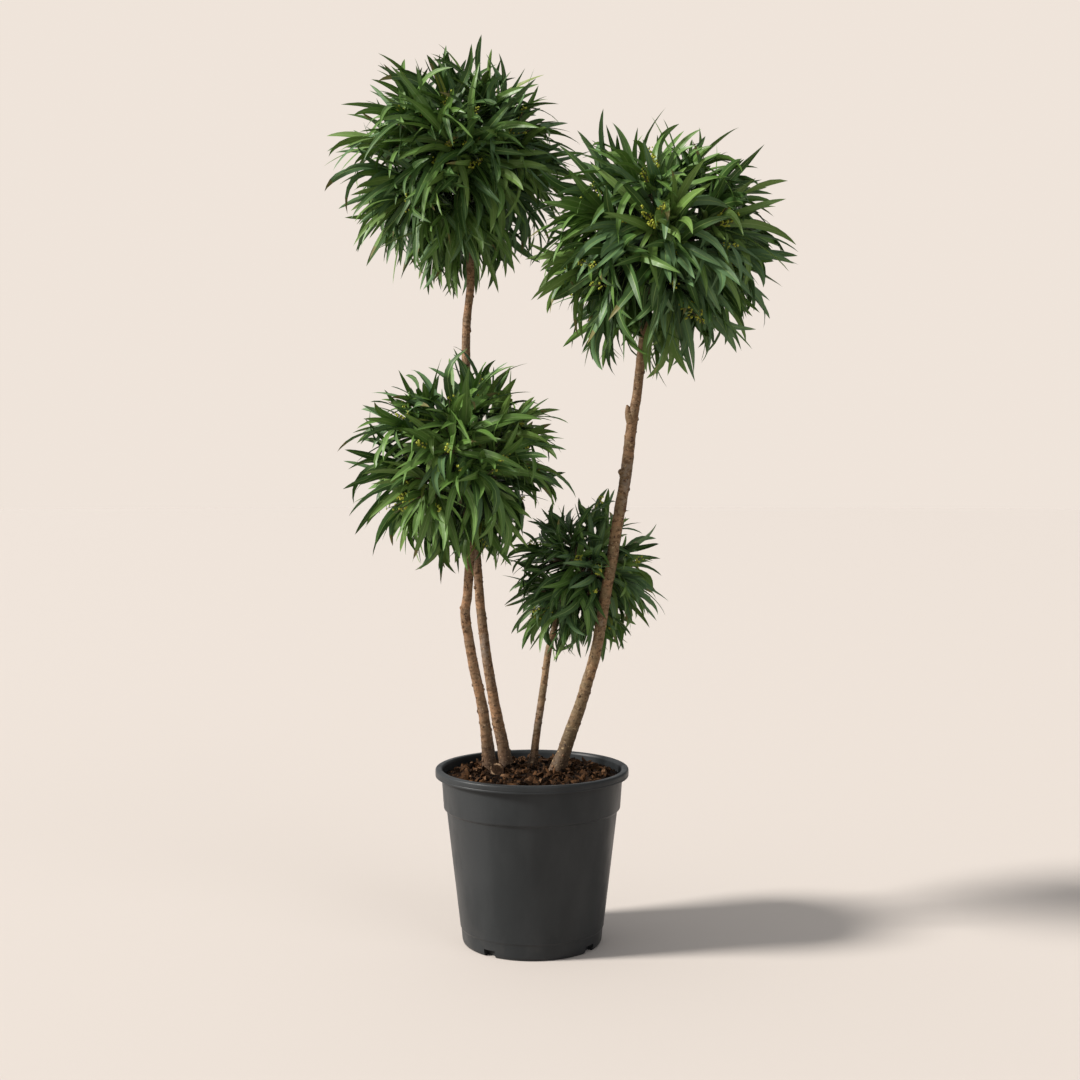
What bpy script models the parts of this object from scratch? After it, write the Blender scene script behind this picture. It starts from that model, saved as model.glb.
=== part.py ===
"""A pompom fig: four clipped balls of long narrow leaves on four bare brown stems,
growing up through one round plastic nursery pot of coarse mix.

Metres, +Z up. The origin is the centre of the pot's flat underside, and -Y is the front.
"""

import math
import random

import bmesh
import bpy
from mathutils import Matrix, Vector
from mathutils.geometry import delaunay_2d_cdt

# ------------------------------------------------------------------ driving sizes
GAP = 0.0003  # clearance left between two pieces that touch
WELD = 0.0001
UP = Vector((0.0, 0.0, 1.0))
GOLDEN_ANGLE = math.pi * (3.0 - math.sqrt(5.0))

# The pot, turned in 48 sides. Each pair is radius, height.
POT_SIDES = 48
POT_INNER = [
    (0.1080, 0.0040),
    (0.1185, 0.0140),
    (0.1477, 0.2320),
    (0.1531, 0.2385),
    (0.1574, 0.3040),
]
POT_LIP = [
    (0.1592, 0.3075),
    (0.1612, 0.3080),
    (0.1672, 0.3080),
    (0.1693, 0.3068),
    (0.1700, 0.3045),
    (0.1700, 0.2946),
    (0.1677, 0.2946),
    (0.1672, 0.3050),
    (0.1600, 0.3050),
]
POT_OUTER = [
    (0.1594, 0.2950),
    (0.1552, 0.2385),
    (0.1502, 0.2340),
    (0.1265, 0.0290),
    (0.1249, 0.0265),
    (0.1232, 0.0065),
    (0.1218, 0.0020),
    (0.1195, 0.0000),
]
SLOT_ANGLES = [-36.0, 54.0, 144.0, 234.0]  # drain slots, degrees round from the front
SLOT_WIDTH = 0.020
SLOT_HEIGHT = 0.009
SLOT_FLOOR_RADIUS = 0.1115
DRAIN_HOLES = 4
DRAIN_HOLE_RADIUS = 0.006
DRAIN_HOLE_CIRCLE = 0.070

# The mix in the pot
SEAT_Z = 0.2990  # level at which every stem is cut flat
SOIL_EDGE_Z = 0.2915
SOIL_EDGE_RADIUS = 0.1563
SOIL_CROWN_Z = 0.3010
SOIL_LUMP = 0.0030
SOIL_SPACING = 0.0165
SEAT_MARGIN = 0.0012
SEAT_BANK = 0.0035

# Stems: x, y, z, radius up each centre line, measured on the bark above the flare.
STEM_SIDES = 10
RING_SPACING = 0.044
STEMS = {
    "stem_front_left": [
        (-0.0748, 0.0180, 0.2993, 0.0128),
        (-0.0800, 0.0090, 0.3560, 0.0104),
        (-0.0875, 0.0010, 0.4140, 0.0092),
        (-0.1006, -0.0085, 0.4785, 0.0088),
        (-0.1099, -0.0170, 0.5339, 0.0085),
        (-0.1160, -0.0239, 0.5790, 0.0086),
        (-0.1118, -0.0292, 0.6140, 0.0083),
        (-0.1088, -0.0353, 0.6539, 0.0080),
        (-0.1060, -0.0417, 0.6958, 0.0078),
        (-0.1110, -0.0490, 0.7370, 0.0074),
    ],
    "stem_rear_left": [
        (-0.0455, 0.0450, 0.2993, 0.0122),
        (-0.0530, 0.0461, 0.3400, 0.0106),
        (-0.0635, 0.0480, 0.3900, 0.0101),
        (-0.0776, 0.0513, 0.4708, 0.0090),
        (-0.0912, 0.0551, 0.5718, 0.0082),
        (-0.0975, 0.0580, 0.6481, 0.0079),
        (-0.1030, 0.0605, 0.7400, 0.0078),
        (-0.1090, 0.0640, 0.8450, 0.0077),
        (-0.1150, 0.0690, 0.9500, 0.0077),
        (-0.1188, 0.0770, 1.0375, 0.0076),
        (-0.1172, 0.0825, 1.1005, 0.0074),
        (-0.1110, 0.0885, 1.1620, 0.0070),
        (-0.1130, 0.0945, 1.2200, 0.0067),
        (-0.1180, 0.0980, 1.2480, 0.0065),
    ],
    "stem_short": [
        (0.0010, 0.0575, 0.2993, 0.0092),
        (0.0058, 0.0594, 0.3385, 0.0071),
        (0.0128, 0.0615, 0.3900, 0.0067),
        (0.0219, 0.0640, 0.4521, 0.0063),
        (0.0290, 0.0660, 0.5035, 0.0061),
        (0.0390, 0.0677, 0.5430, 0.0059),
        (0.0490, 0.0690, 0.5720, 0.0056),
    ],
    "stem_right": [
        (0.0440, 0.0000, 0.2993, 0.0152),
        (0.0560, -0.0024, 0.3340, 0.0125),
        (0.0716, -0.0052, 0.3805, 0.0115),
        (0.0857, -0.0081, 0.4216, 0.0106),
        (0.0975, -0.0109, 0.4623, 0.0102),
        (0.1094, -0.0137, 0.5031, 0.0099),
        (0.1205, -0.0180, 0.5640, 0.0098),
        (0.1288, -0.0218, 0.6202, 0.0097),
        (0.1379, -0.0251, 0.6675, 0.0097),
        (0.1442, -0.0283, 0.7147, 0.0097),
        (0.1538, -0.0322, 0.7711, 0.0098),
        (0.1627, -0.0361, 0.8272, 0.0100),
        (0.1709, -0.0413, 0.9018, 0.0093),
        (0.1804, -0.0485, 0.9620, 0.0080),
        (0.1861, -0.0560, 1.0220, 0.0077),
        (0.1920, -0.0640, 1.0770, 0.0072),
        (0.1945, -0.0670, 1.0920, 0.0070),
    ],
    "cut_stub": [
        (-0.0616, -0.0170, 0.2953, 0.0126),
        (-0.0616, -0.0210, 0.3010, 0.0124),
        (-0.0616, -0.0265, 0.3060, 0.0122),
        (-0.0616, -0.0320, 0.3092, 0.0120),
    ],
}
FLARED = ["stem_front_left", "stem_rear_left", "stem_short", "stem_right"]
FLARE_RINGS = [0.006, 0.016]
FLARE_HEIGHT = 0.009
FLARE_SPREAD = 0.0022
FLARE_LOBES = 4

# Old pruning knobs: stem, height, compass angle (0 = right, 90 = back), length, radius.
KNOBS = [
    ("stem_right", 0.927, 175.0, 0.0180, 0.0058),
    ("stem_right", 0.882, 200.0, 0.0125, 0.0036),
    ("stem_right", 0.868, 335.0, 0.0125, 0.0034),
    ("stem_right", 0.812, 190.0, 0.0130, 0.0036),
    ("stem_right", 0.520, 20.0, 0.0125, 0.0036),
    ("stem_rear_left", 1.075, 350.0, 0.0105, 0.0032),
    ("stem_rear_left", 1.020, 185.0, 0.0100, 0.0030),
    ("stem_rear_left", 0.560, 10.0, 0.0110, 0.0032),
    ("stem_front_left", 0.585, 185.0, 0.0115, 0.0036),
    ("stem_front_left", 0.440, 10.0, 0.0115, 0.0032),
    ("stem_short", 0.470, 180.0, 0.0085, 0.0026),
]
KNOB_SIDES = 6
KNOB_RISE = 0.75  # upward part of a knob's lean, against one part outward

# Balls of foliage: the stem each one grows on, its centre, the radius the tips reach,
# the radius of the dark heart, its twigs, the leaves round each, and the seed of its rule.
BALLS = {
    "ball_top_left": dict(
        stem="stem_rear_left", centre=(-0.1395, 0.1100, 1.3790), reach=0.243, heart=0.114,
        twigs=17, leaves=12, seed=11,
    ),
    "ball_top_right": dict(
        stem="stem_right", centre=(0.2215, -0.0900, 1.2110), reach=0.243, heart=0.114,
        twigs=17, leaves=12, seed=23,
    ),
    "ball_middle_left": dict(
        stem="stem_front_left", centre=(-0.1297, -0.0550, 0.8416), reach=0.212, heart=0.098,
        twigs=15, leaves=12, seed=37,
    ),
    "ball_low_right": dict(
        stem="stem_short", centre=(0.0960, 0.0700, 0.6430), reach=0.174, heart=0.068,
        twigs=11, leaves=10, seed=53,
    ),
}
HEART_LUMP = 0.05
MASS_STEM_SIDES = 6
TWIG_RADIUS = 0.0028
TWIG_TIP_RADIUS = 0.0018
TWIG_OUT = 0.16  # how far past the heart a twig runs, as a share of the leaf shell
TUFT_TRIES = 7  # places tried for each leaf, the roomiest being kept
LEAF_HALF_WIDTH = 0.0135
LEAF_THICK = 0.0022
LEAF_WIDEST = 0.47  # where the blade is widest, as a share of its length
LEAF_ROOT_DEPTH = 0.014
LEAF_SHORTEST = 0.070
LEAF_LONGEST = 0.150
LIMB_CLEARANCE = 0.0020
SPACE_CLEARANCE = 0.0015


# ------------------------------------------------------------------ small helpers
def clear_scene():
    """Takes away whatever the new scene starts with."""
    for obj in list(bpy.data.objects):
        bpy.data.objects.remove(obj, do_unlink=True)


def new_collection(name, hidden=False):
    """A collection in the scene; a hidden one holds helpers only."""
    collection = bpy.data.collections.new(name)
    bpy.context.scene.collection.children.link(collection)
    collection.hide_render = hidden
    return collection


def new_object(name, mesh, collection):
    obj = bpy.data.objects.new(name, mesh)
    collection.objects.link(obj)
    return obj


def mesh_from(name, vertices, faces):
    """A mesh whose faces all look outward."""
    mesh = bpy.data.meshes.new(name)
    mesh.from_pydata([tuple(v) for v in vertices], [], faces)
    shell = bmesh.new()
    shell.from_mesh(mesh)
    bmesh.ops.recalc_face_normals(shell, faces=shell.faces)
    shell.to_mesh(mesh)
    shell.free()
    return mesh


def give_material(obj, name, colour, roughness):
    """One plain Principled material of this piece's own."""
    material = bpy.data.materials.new(name)
    material.use_nodes = True
    shader = material.node_tree.nodes["Principled BSDF"]
    shader.inputs["Base Color"].default_value = (*colour, 1.0)
    shader.inputs["Roughness"].default_value = roughness
    material.diffuse_color = (*colour, 1.0)
    obj.data.materials.clear()
    obj.data.materials.append(material)


def place(obj, origin, base):
    """Puts the object's own origin where it stands or is carried, and hangs it on the plant's base."""
    obj.data.transform(Matrix.Translation(-Vector(origin)))
    obj.location = origin
    obj.parent = base


def as_cutter(obj):
    obj.hide_render = True
    obj.display_type = "WIRE"
    return obj


def settle_modifiers(obj):
    """Turns the object into the plain mesh that its modifiers make."""
    bpy.context.view_layer.update()
    graph = bpy.context.evaluated_depsgraph_get()
    mesh = bpy.data.meshes.new_from_object(obj.evaluated_get(graph))
    obj.modifiers.clear()
    obj.data = mesh


def join_with(obj, collection):
    """Fuses everything in the collection onto the object, then removes the loose pieces."""
    union = obj.modifiers.new("join", "BOOLEAN")
    union.operation = "UNION"
    union.operand_type = "COLLECTION"
    union.collection = collection
    union.solver = "EXACT"
    settle_modifiers(obj)
    for piece in list(collection.objects):
        bpy.data.objects.remove(piece, do_unlink=True)
    bpy.data.collections.remove(collection)


def keep_outer_shell(obj):
    """Fills sealed hollows and drops loose scraps by keeping the one largest shell."""
    shell = bmesh.new()
    shell.from_mesh(obj.data)
    bmesh.ops.triangulate(shell, faces=shell.faces)
    unseen = set(shell.faces)
    islands = []
    while unseen:
        front = [unseen.pop()]
        island = list(front)
        while front:
            face = front.pop()
            for edge in face.edges:
                for other in edge.link_faces:
                    if other in unseen:
                        unseen.remove(other)
                        front.append(other)
                        island.append(other)
        islands.append(island)
    largest = max(islands, key=len)
    spare = [face for island in islands if island is not largest for face in island]
    bmesh.ops.delete(shell, geom=spare, context="FACES")
    shell.to_mesh(obj.data)
    shell.free()


# ------------------------------------------------------------------ pot
def turned(name, profile, collection):
    """A body of revolution; the profile runs from the axis, up the inside and down the outside."""
    mesh = bpy.data.meshes.new(name)
    points = [(radius, 0.0, height) for radius, height in profile]
    edges = [(i, i + 1) for i in range(len(points) - 1)]
    mesh.from_pydata(points, edges, [])
    obj = new_object(name, mesh, collection)
    screw = obj.modifiers.new("turn", "SCREW")
    screw.angle = math.tau
    screw.steps = POT_SIDES
    screw.render_steps = POT_SIDES
    screw.use_merge_vertices = True
    screw.merge_threshold = WELD
    screw.use_normal_calculate = True
    return obj


def drain_cutters(collection):
    """Four slots through the bottom edge and four round holes through the floor."""
    for degrees in SLOT_ANGLES:
        turn = math.radians(degrees)
        outward = Vector((math.sin(turn), -math.cos(turn), 0.0))
        depth = 0.030
        bpy.ops.mesh.primitive_cube_add(
            size=1.0,
            location=outward * (SLOT_FLOOR_RADIUS + depth / 2) + UP * (SLOT_HEIGHT / 2 - 0.001),
            rotation=(0.0, 0.0, turn),
            scale=(SLOT_WIDTH, depth, SLOT_HEIGHT + 0.002),
        )
        slot = as_cutter(bpy.context.active_object)
        slot.name = "slot_cutter"
        move_to(slot, collection)
    for i in range(DRAIN_HOLES):
        turn = math.radians(SLOT_ANGLES[0] + 45.0) + math.tau * i / DRAIN_HOLES
        bpy.ops.mesh.primitive_cylinder_add(
            vertices=12,
            radius=DRAIN_HOLE_RADIUS,
            depth=0.010,
            location=(
                DRAIN_HOLE_CIRCLE * math.sin(turn),
                -DRAIN_HOLE_CIRCLE * math.cos(turn),
                0.0020,
            ),
        )
        hole = as_cutter(bpy.context.active_object)
        hole.name = "hole_cutter"
        move_to(hole, collection)


def move_to(obj, collection):
    for held in list(obj.users_collection):
        held.objects.unlink(obj)
    collection.objects.link(obj)


def build_pot(collection, cutters, base):
    floor_z = POT_INNER[0][1]
    profile = [(0.0, floor_z)] + POT_INNER + POT_LIP + POT_OUTER + [(0.0, 0.0)]
    pot = turned("pot", profile, collection)
    settle_modifiers(pot)
    drain_cutters(cutters)
    drains = pot.modifiers.new("drains", "BOOLEAN")
    drains.operation = "DIFFERENCE"
    drains.operand_type = "COLLECTION"
    drains.collection = cutters
    drains.solver = "EXACT"
    settle_modifiers(pot)
    pot.data.shade_smooth()
    pot.data.set_sharp_from_angle(angle=math.radians(35.0))
    give_material(pot, "pot_plastic", (0.052, 0.052, 0.054), 0.50)
    place(pot, (0.0, 0.0, 0.0), base)


# ------------------------------------------------------------------ soil
def foot_circles():
    """Where each stem and the stub stand: centre, radius and level of the flat seat under each."""
    seats = []
    for name, path in STEMS.items():
        foot = Vector(path[0][:2])
        low = [Vector(point[:2]) for point in path if point[2] < SEAT_Z + SEAT_BANK * 3]
        run = (low[-1] - foot).length / 2
        reach = path[0][3] + SEAT_MARGIN + run
        if name in FLARED:
            reach += FLARE_SPREAD
        seats.append(((foot + low[-1]) / 2, reach, path[0][2] - GAP))
    return seats


def build_soil(collection, base):
    """The mix fills the pot; its crumbly top is a net of lumps with a flat seat under each stem."""
    rng = random.Random(5)
    seats = foot_circles()
    flat = []
    heights = []

    def add(point, height):
        flat.append(point)
        heights.append(height)

    for i in range(POT_SIDES):
        turn = math.tau * i / POT_SIDES
        add(Vector((math.cos(turn), math.sin(turn))) * SOIL_EDGE_RADIUS, SOIL_EDGE_Z)
    for centre, radius, level in seats:
        for i in range(12):
            spoke = Vector((math.cos(math.tau * i / 12), math.sin(math.tau * i / 12)))
            add(centre + spoke * radius, level)
            bank = centre + spoke * (radius + SEAT_BANK)
            if all((bank - other).length > size + 0.002 for other, size, _ in seats):
                add(bank, SEAT_Z + rng.uniform(0.0010, 0.0028))

    row = SOIL_SPACING * math.sqrt(3.0) / 2.0
    steps = int(SOIL_EDGE_RADIUS / row) + 2
    for j in range(-steps, steps + 1):
        for i in range(-steps, steps + 1):
            x = (i + 0.5 * (j % 2)) * SOIL_SPACING + rng.uniform(-0.004, 0.004)
            y = j * row + rng.uniform(-0.004, 0.004)
            lift = rng.uniform(-1.0, 1.0)
            point = Vector((x, y))
            if point.length > SOIL_EDGE_RADIUS - 0.006:
                continue
            if any((point - centre).length < size + SEAT_BANK + 0.003 for centre, size, _ in seats):
                continue
            slope = min(1.0, (SOIL_EDGE_RADIUS - point.length) / 0.055)
            height = SOIL_EDGE_Z + (SOIL_CROWN_Z - SOIL_EDGE_Z) * slope ** 0.7
            add(point, height + lift * SOIL_LUMP * (0.4 + 0.6 * slope))

    rim = [(i, (i + 1) % POT_SIDES) for i in range(POT_SIDES)]
    points, _, faces, origins, _, _ = delaunay_2d_cdt(flat, rim, [], 1, 1e-6, True)
    top = [Vector((p.x, p.y, heights[origins[i][0]])) for i, p in enumerate(points)]

    # Below the top, rings follow the inside of the pot one gap in from it.
    edge_of = {}
    for i, source in enumerate(origins):
        if source[0] < POT_SIDES:
            edge_of[source[0]] = i
    vertices = list(top)
    polygons = [tuple(face) for face in faces]
    ring_above = [edge_of[i] for i in range(POT_SIDES)]
    for radius, height in reversed(POT_INNER[:-1]):
        first = len(vertices)
        for i in range(POT_SIDES):
            turn = math.tau * i / POT_SIDES
            spread = radius - GAP
            vertices.append(Vector((spread * math.cos(turn), spread * math.sin(turn), height + GAP)))
        ring = [first + i for i in range(POT_SIDES)]
        for i in range(POT_SIDES):
            j = (i + 1) % POT_SIDES
            polygons.append((ring_above[i], ring_above[j], ring[j], ring[i]))
        ring_above = ring
    polygons.append(tuple(ring_above))

    soil = new_object("soil", mesh_from("soil", vertices, polygons), collection)
    give_material(soil, "soil_mix", (0.085, 0.040, 0.022), 0.95)
    place(soil, (0.0, 0.0, POT_INNER[0][1]), base)


# ------------------------------------------------------------------ stems
def spline(points, spacing):
    """Smooth points along a Catmull-Rom curve; the fourth number of each is a radius."""
    held = [points[0]] + list(points) + [points[-1]]
    rings = []
    for k in range(1, len(held) - 2):
        a, b, c, d = (held[k - 1], held[k], held[k + 1], held[k + 2])
        length = math.dist(b[:3], c[:3])
        steps = max(1, round(length / spacing))
        for s in range(steps):
            t = s / steps
            rings.append(tuple(
                0.5 * (2 * q + (r - p) * t + (2 * p - 5 * q + 4 * r - w) * t * t
                       + (3 * q - p - 3 * r + w) * t * t * t)
                for p, q, r, w in zip(a, b, c, d)
            ))
    rings.append(tuple(points[-1]))
    return rings


def tube(rings, sides, flare):
    """A closed limb through the rings, cut flat and level at its foot."""
    centres = [Vector(ring[:3]) for ring in rings]
    vertices = []
    across = Vector((1.0, 0.0, 0.0))
    foot_z = centres[0].z
    for k, centre in enumerate(centres):
        ahead = centres[min(k + 1, len(centres) - 1)] - centres[max(k - 1, 0)]
        along = UP.lerp(ahead.normalized(), min(1.0, k / 3)).normalized()
        across = (across - along * across.dot(along)).normalized()
        side = along.cross(across)
        swell = 0.0
        if flare:
            swell = FLARE_SPREAD * math.exp(-(centre.z - foot_z) / FLARE_HEIGHT)
        for i in range(sides):
            turn = math.tau * i / sides
            lobe = 0.62 + 0.38 * math.cos(FLARE_LOBES * turn + 0.6)
            radius = rings[k][3] + swell * lobe
            vertices.append(centre + (across * math.cos(turn) + side * math.sin(turn)) * radius)
    faces = [tuple(range(sides)), tuple(range(len(vertices) - sides, len(vertices)))]
    for k in range(len(rings) - 1):
        for i in range(sides):
            j = (i + 1) % sides
            low, high = k * sides, (k + 1) * sides
            faces.append((low + i, low + j, high + j, high + i))
    return vertices, faces


def limb_rings(name):
    """The rings of one limb, with two more low down where the roots flare."""
    rings = spline(STEMS[name], RING_SPACING)
    if name not in FLARED:
        return rings
    foot, above = rings[0], rings[1]
    flare = []
    for rise in FLARE_RINGS:
        t = rise / (above[2] - foot[2])
        flare.append(tuple(a + (b - a) * t for a, b in zip(foot, above)))
    return [foot] + flare + rings[1:]


def point_at_height(rings, height):
    """The centre, direction and radius of a limb at one height."""
    for below, above in zip(rings, rings[1:]):
        if below[2] <= height <= above[2]:
            t = (height - below[2]) / (above[2] - below[2])
            centre = Vector(below[:3]).lerp(Vector(above[:3]), t)
            along = (Vector(above[:3]) - Vector(below[:3])).normalized()
            return centre, along, below[3] + (above[3] - below[3]) * t
    raise ValueError("the limb doesn't reach that height")


def rod(name, start, end, start_radius, end_radius, sides):
    """A closed tapered prism between two points."""
    along = end - start
    turn = along.to_track_quat("Z", "Y").to_matrix().to_4x4()
    shell = bmesh.new()
    bmesh.ops.create_cone(
        shell,
        cap_ends=True,
        segments=sides,
        radius1=start_radius,
        radius2=end_radius,
        depth=along.length,
        matrix=Matrix.Translation((start + end) / 2) @ turn,
    )
    mesh = bpy.data.meshes.new(name)
    shell.to_mesh(mesh)
    shell.free()
    return mesh


def build_stem(name, collection, base):
    """One limb with its flare and the knobs left where side shoots were taken off."""
    rings = limb_rings(name)
    vertices, faces = tube(rings, STEM_SIDES, flare=name in FLARED)
    stem = new_object(name, mesh_from(name, vertices, faces), collection)
    knobs = [knob for knob in KNOBS if knob[0] == name]
    if knobs:
        pieces = new_collection(name + "_knobs", hidden=True)
        for _, height, compass, length, radius in knobs:
            centre, along, _ = point_at_height(rings, height)
            turn = math.radians(compass)
            outward = Vector((math.cos(turn), math.sin(turn), 0.0))
            lean = (outward + along * KNOB_RISE).normalized()
            knob = rod("knob", centre, centre + lean * length, radius * 1.35, radius * 0.8, KNOB_SIDES)
            new_object("knob", knob, pieces)
        join_with(stem, pieces)
    stem.data.shade_smooth()
    stem.data.set_sharp_from_angle(angle=math.radians(50.0))
    give_material(stem, name + "_bark", (0.190, 0.115, 0.066), 0.85)
    place(stem, STEMS[name][0][:3], base)


# ------------------------------------------------------------------ foliage
def even_directions(count, rng):
    """Directions spread evenly over the whole ball, each turned a little off its place."""
    directions = []
    for i in range(count):
        z = 1.0 - 2.0 * (i + 0.5) / count
        ring = math.sqrt(1.0 - z * z)
        turn = GOLDEN_ANGLE * i + rng.uniform(-0.18, 0.18)
        jitter = Vector((rng.uniform(-1, 1), rng.uniform(-1, 1), rng.uniform(-1, 1))) * 0.10
        directions.append((Vector((ring * math.cos(turn), ring * math.sin(turn), z)) + jitter).normalized())
    return directions


def tuft_leaf(ball, twig_direction, tuft_angle, k, rng):
    """One leaf of the tuft round a twig: root, bend, tip, the way its width runs, and half its width."""
    centre = Vector(ball["centre"])
    guide = UP if abs(twig_direction.z) < 0.9 else Vector((1.0, 0.0, 0.0))
    across = twig_direction.cross(guide).normalized()
    side = twig_direction.cross(across)
    turn = GOLDEN_ANGLE * k + rng.uniform(-0.9, 0.9)
    around = across * math.cos(turn) + side * math.sin(turn)
    off_axis = tuft_angle * math.sqrt((k + 0.5) / ball["leaves"]) * rng.uniform(0.85, 1.15)
    leaves_heart = (twig_direction * math.cos(off_axis) + around * math.sin(off_axis)).normalized()
    lean = rng.uniform(0.10, 0.50)
    start = (leaves_heart + around * lean - UP * 0.10).normalized()
    sag = rng.uniform(0.30, 0.75) * (1.0 - 0.45 * max(0.0, leaves_heart.z))
    finish = (start - UP * sag).normalized()
    root = centre + leaves_heart * ball["heart"] - start * LEAF_ROOT_DEPTH
    mean = (start * LEAF_WIDEST + finish * (1.0 - LEAF_WIDEST)).normalized()
    # The blade is as long as it takes to reach the clipped outline, within life's range.
    target = ball["reach"] * rng.uniform(0.86, 0.995)
    offset = root - centre
    along = offset.dot(mean)
    length = -along + math.sqrt(max(0.0, along * along - offset.length_squared + target * target))
    length = min(max(length, LEAF_SHORTEST), LEAF_LONGEST)
    bend = root + start * length * LEAF_WIDEST
    tip = bend + finish * length * (1.0 - LEAF_WIDEST)
    # A blade lies with its upper face turned up and outward, rolled a little either way.
    facing = (leaves_heart * 0.7 + UP * 0.6).normalized()
    width_way = start.cross(facing)
    if width_way.length < 0.05:
        width_way = start.cross(around)
    width_way = Matrix.Rotation(rng.uniform(-0.6, 0.6), 3, start) @ width_way.normalized()
    half_width = LEAF_HALF_WIDTH * rng.uniform(0.85, 1.1)
    return root, bend, tip, width_way, half_width


def room_round(leaf, placed):
    """How far the outer half of a leaf stays from the outer halves of the leaves already there."""
    _, bend, tip, _, _ = leaf
    points = [bend.lerp(tip, t / 3) for t in range(4)]
    nearest = 1.0
    for other in placed:
        for point in points:
            nearest = min(nearest, *((point - there).length for there in other))
    return nearest


def near_limb(point, limbs, margin):
    """Whether a point comes within the margin of any limb's bark."""
    for rings in limbs.values():
        for below, above in zip(rings, rings[1:]):
            a, b = Vector(below[:3]), Vector(above[:3])
            span = b - a
            t = min(1.0, max(0.0, (point - a).dot(span) / span.length_squared))
            if (point - (a + span * t)).length < max(below[3], above[3]) + margin:
                return True
    return False


def outside_space(point, name, margin):
    """Whether a point leaves the ball's own space: its round reach, cut off midway to each neighbour."""
    own = BALLS[name]
    offset = point - Vector(own["centre"])
    if offset.length > own["reach"] + 0.004:
        return True
    own_power = offset.length_squared - own["reach"] ** 2
    for other_name, other in BALLS.items():
        if other_name == name:
            continue
        apart = (Vector(other["centre"]) - Vector(own["centre"])).length
        other_power = (point - Vector(other["centre"])).length_squared - other["reach"] ** 2
        if (other_power - own_power) / (2.0 * apart) < margin:
            return True
    return False


def fits(points, name, limbs, half_width):
    """Whether a piece stays in its ball's space and clear of every stem."""
    for point in points:
        if outside_space(point, name, half_width * 0.7 + SPACE_CLEARANCE):
            return False
        if near_limb(point, limbs, half_width + LIMB_CLEARANCE):
            return False
    return True


def leaf_fits(leaf, name, limbs):
    root, bend, tip, _, half_width = leaf
    line = [root.lerp(bend, t / 4) for t in range(4)] + [bend.lerp(tip, t / 5) for t in range(6)]
    return fits(line, name, limbs, half_width)


def blade(root, bend, tip, width_way, half_width):
    """A leaf of six faces: pointed at both ends, flat above and keeled below along its midrib."""
    along = (tip - root).normalized()
    below = -along.cross(width_way).normalized() * LEAF_THICK
    wide = width_way * half_width
    vertices = [root, bend + wide, bend - wide, bend + below, tip]
    faces = []
    for i in range(3):
        j = (i + 1) % 3
        faces.append((0, 1 + i, 1 + j))
        faces.append((4, 1 + j, 1 + i))
    return vertices, faces


def heart_mesh(ball, rng):
    """The dark leafy heart the leaves stand out of, a slightly uneven ball."""
    shell = bmesh.new()
    bmesh.ops.create_icosphere(shell, subdivisions=2, radius=ball["heart"])
    for vertex in shell.verts:
        vertex.co *= 1.0 + rng.uniform(-HEART_LUMP, HEART_LUMP)
        vertex.co += Vector(ball["centre"])
    mesh = bpy.data.meshes.new("heart")
    shell.to_mesh(mesh)
    shell.free()
    return mesh


def build_ball(name, collection, limbs, base):
    """One clipped ball: its own short stem, a heart, twigs from that stem, and leaves on the twigs."""
    ball = BALLS[name]
    rng = random.Random(ball["seed"])
    centre = Vector(ball["centre"])
    foliage = new_object(name, heart_mesh(ball, rng), collection)
    pieces = new_collection(name + "_pieces", hidden=True)

    stem_rings = limbs[ball["stem"]]
    tip_of_stem = Vector(stem_rings[-1][:3])
    along = (tip_of_stem - Vector(stem_rings[-2][:3])).normalized()
    foot = tip_of_stem + along * GAP
    elbow = foot + along * 0.012
    radius = stem_rings[-1][3]
    foot_ring = tube([(*foot, radius), (*elbow, radius), (*centre, radius * 0.8)], MASS_STEM_SIDES, False)
    new_object("own_stem", level_foot(foot_ring, foot, along, radius), pieces)

    shell_depth = ball["reach"] - ball["heart"]
    tuft_angle = 1.05 * math.acos(1.0 - 2.0 / ball["twigs"])
    placed = []
    for direction in even_directions(ball["twigs"], rng):
        start = centre + UP * direction.z * ball["heart"] * 0.4
        end = centre + direction * (ball["heart"] + shell_depth * TWIG_OUT)
        edge = centre + direction * (ball["heart"] * 0.92)
        if fits([edge.lerp(end, t / 4) for t in range(5)], name, limbs, TWIG_RADIUS):
            twig = rod("twig", start, end, TWIG_RADIUS * 1.4, TWIG_TIP_RADIUS, 3)
            new_object("twig", twig, pieces)
        for k in range(ball["leaves"]):
            tries = [tuft_leaf(ball, direction, tuft_angle, k, rng) for _ in range(TUFT_TRIES)]
            tries = [leaf for leaf in tries if leaf_fits(leaf, name, limbs)]
            if not tries:
                continue
            leaf = max(tries, key=lambda tried: room_round(tried, placed))
            placed.append([leaf[1].lerp(leaf[2], t / 3) for t in range(4)])
            new_object("leaf", mesh_from("leaf", *blade(*leaf)), pieces)

    join_with(foliage, pieces)
    keep_outer_shell(foliage)
    give_material(foliage, name + "_leaf", (0.030, 0.085, 0.022), 0.55)
    place(foliage, tip_of_stem, base)


def level_foot(shape, foot, along, radius):
    """The ball's own stem, with its foot square to the stem it stands on."""
    vertices, faces = shape
    across = Vector((1.0, 0.0, 0.0))
    across = (across - along * across.dot(along)).normalized()
    side = along.cross(across)
    for i in range(MASS_STEM_SIDES):
        turn = math.tau * i / MASS_STEM_SIDES
        vertices[i] = foot + (across * math.cos(turn) + side * math.sin(turn)) * radius
    return mesh_from("own_stem", vertices, faces)


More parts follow.
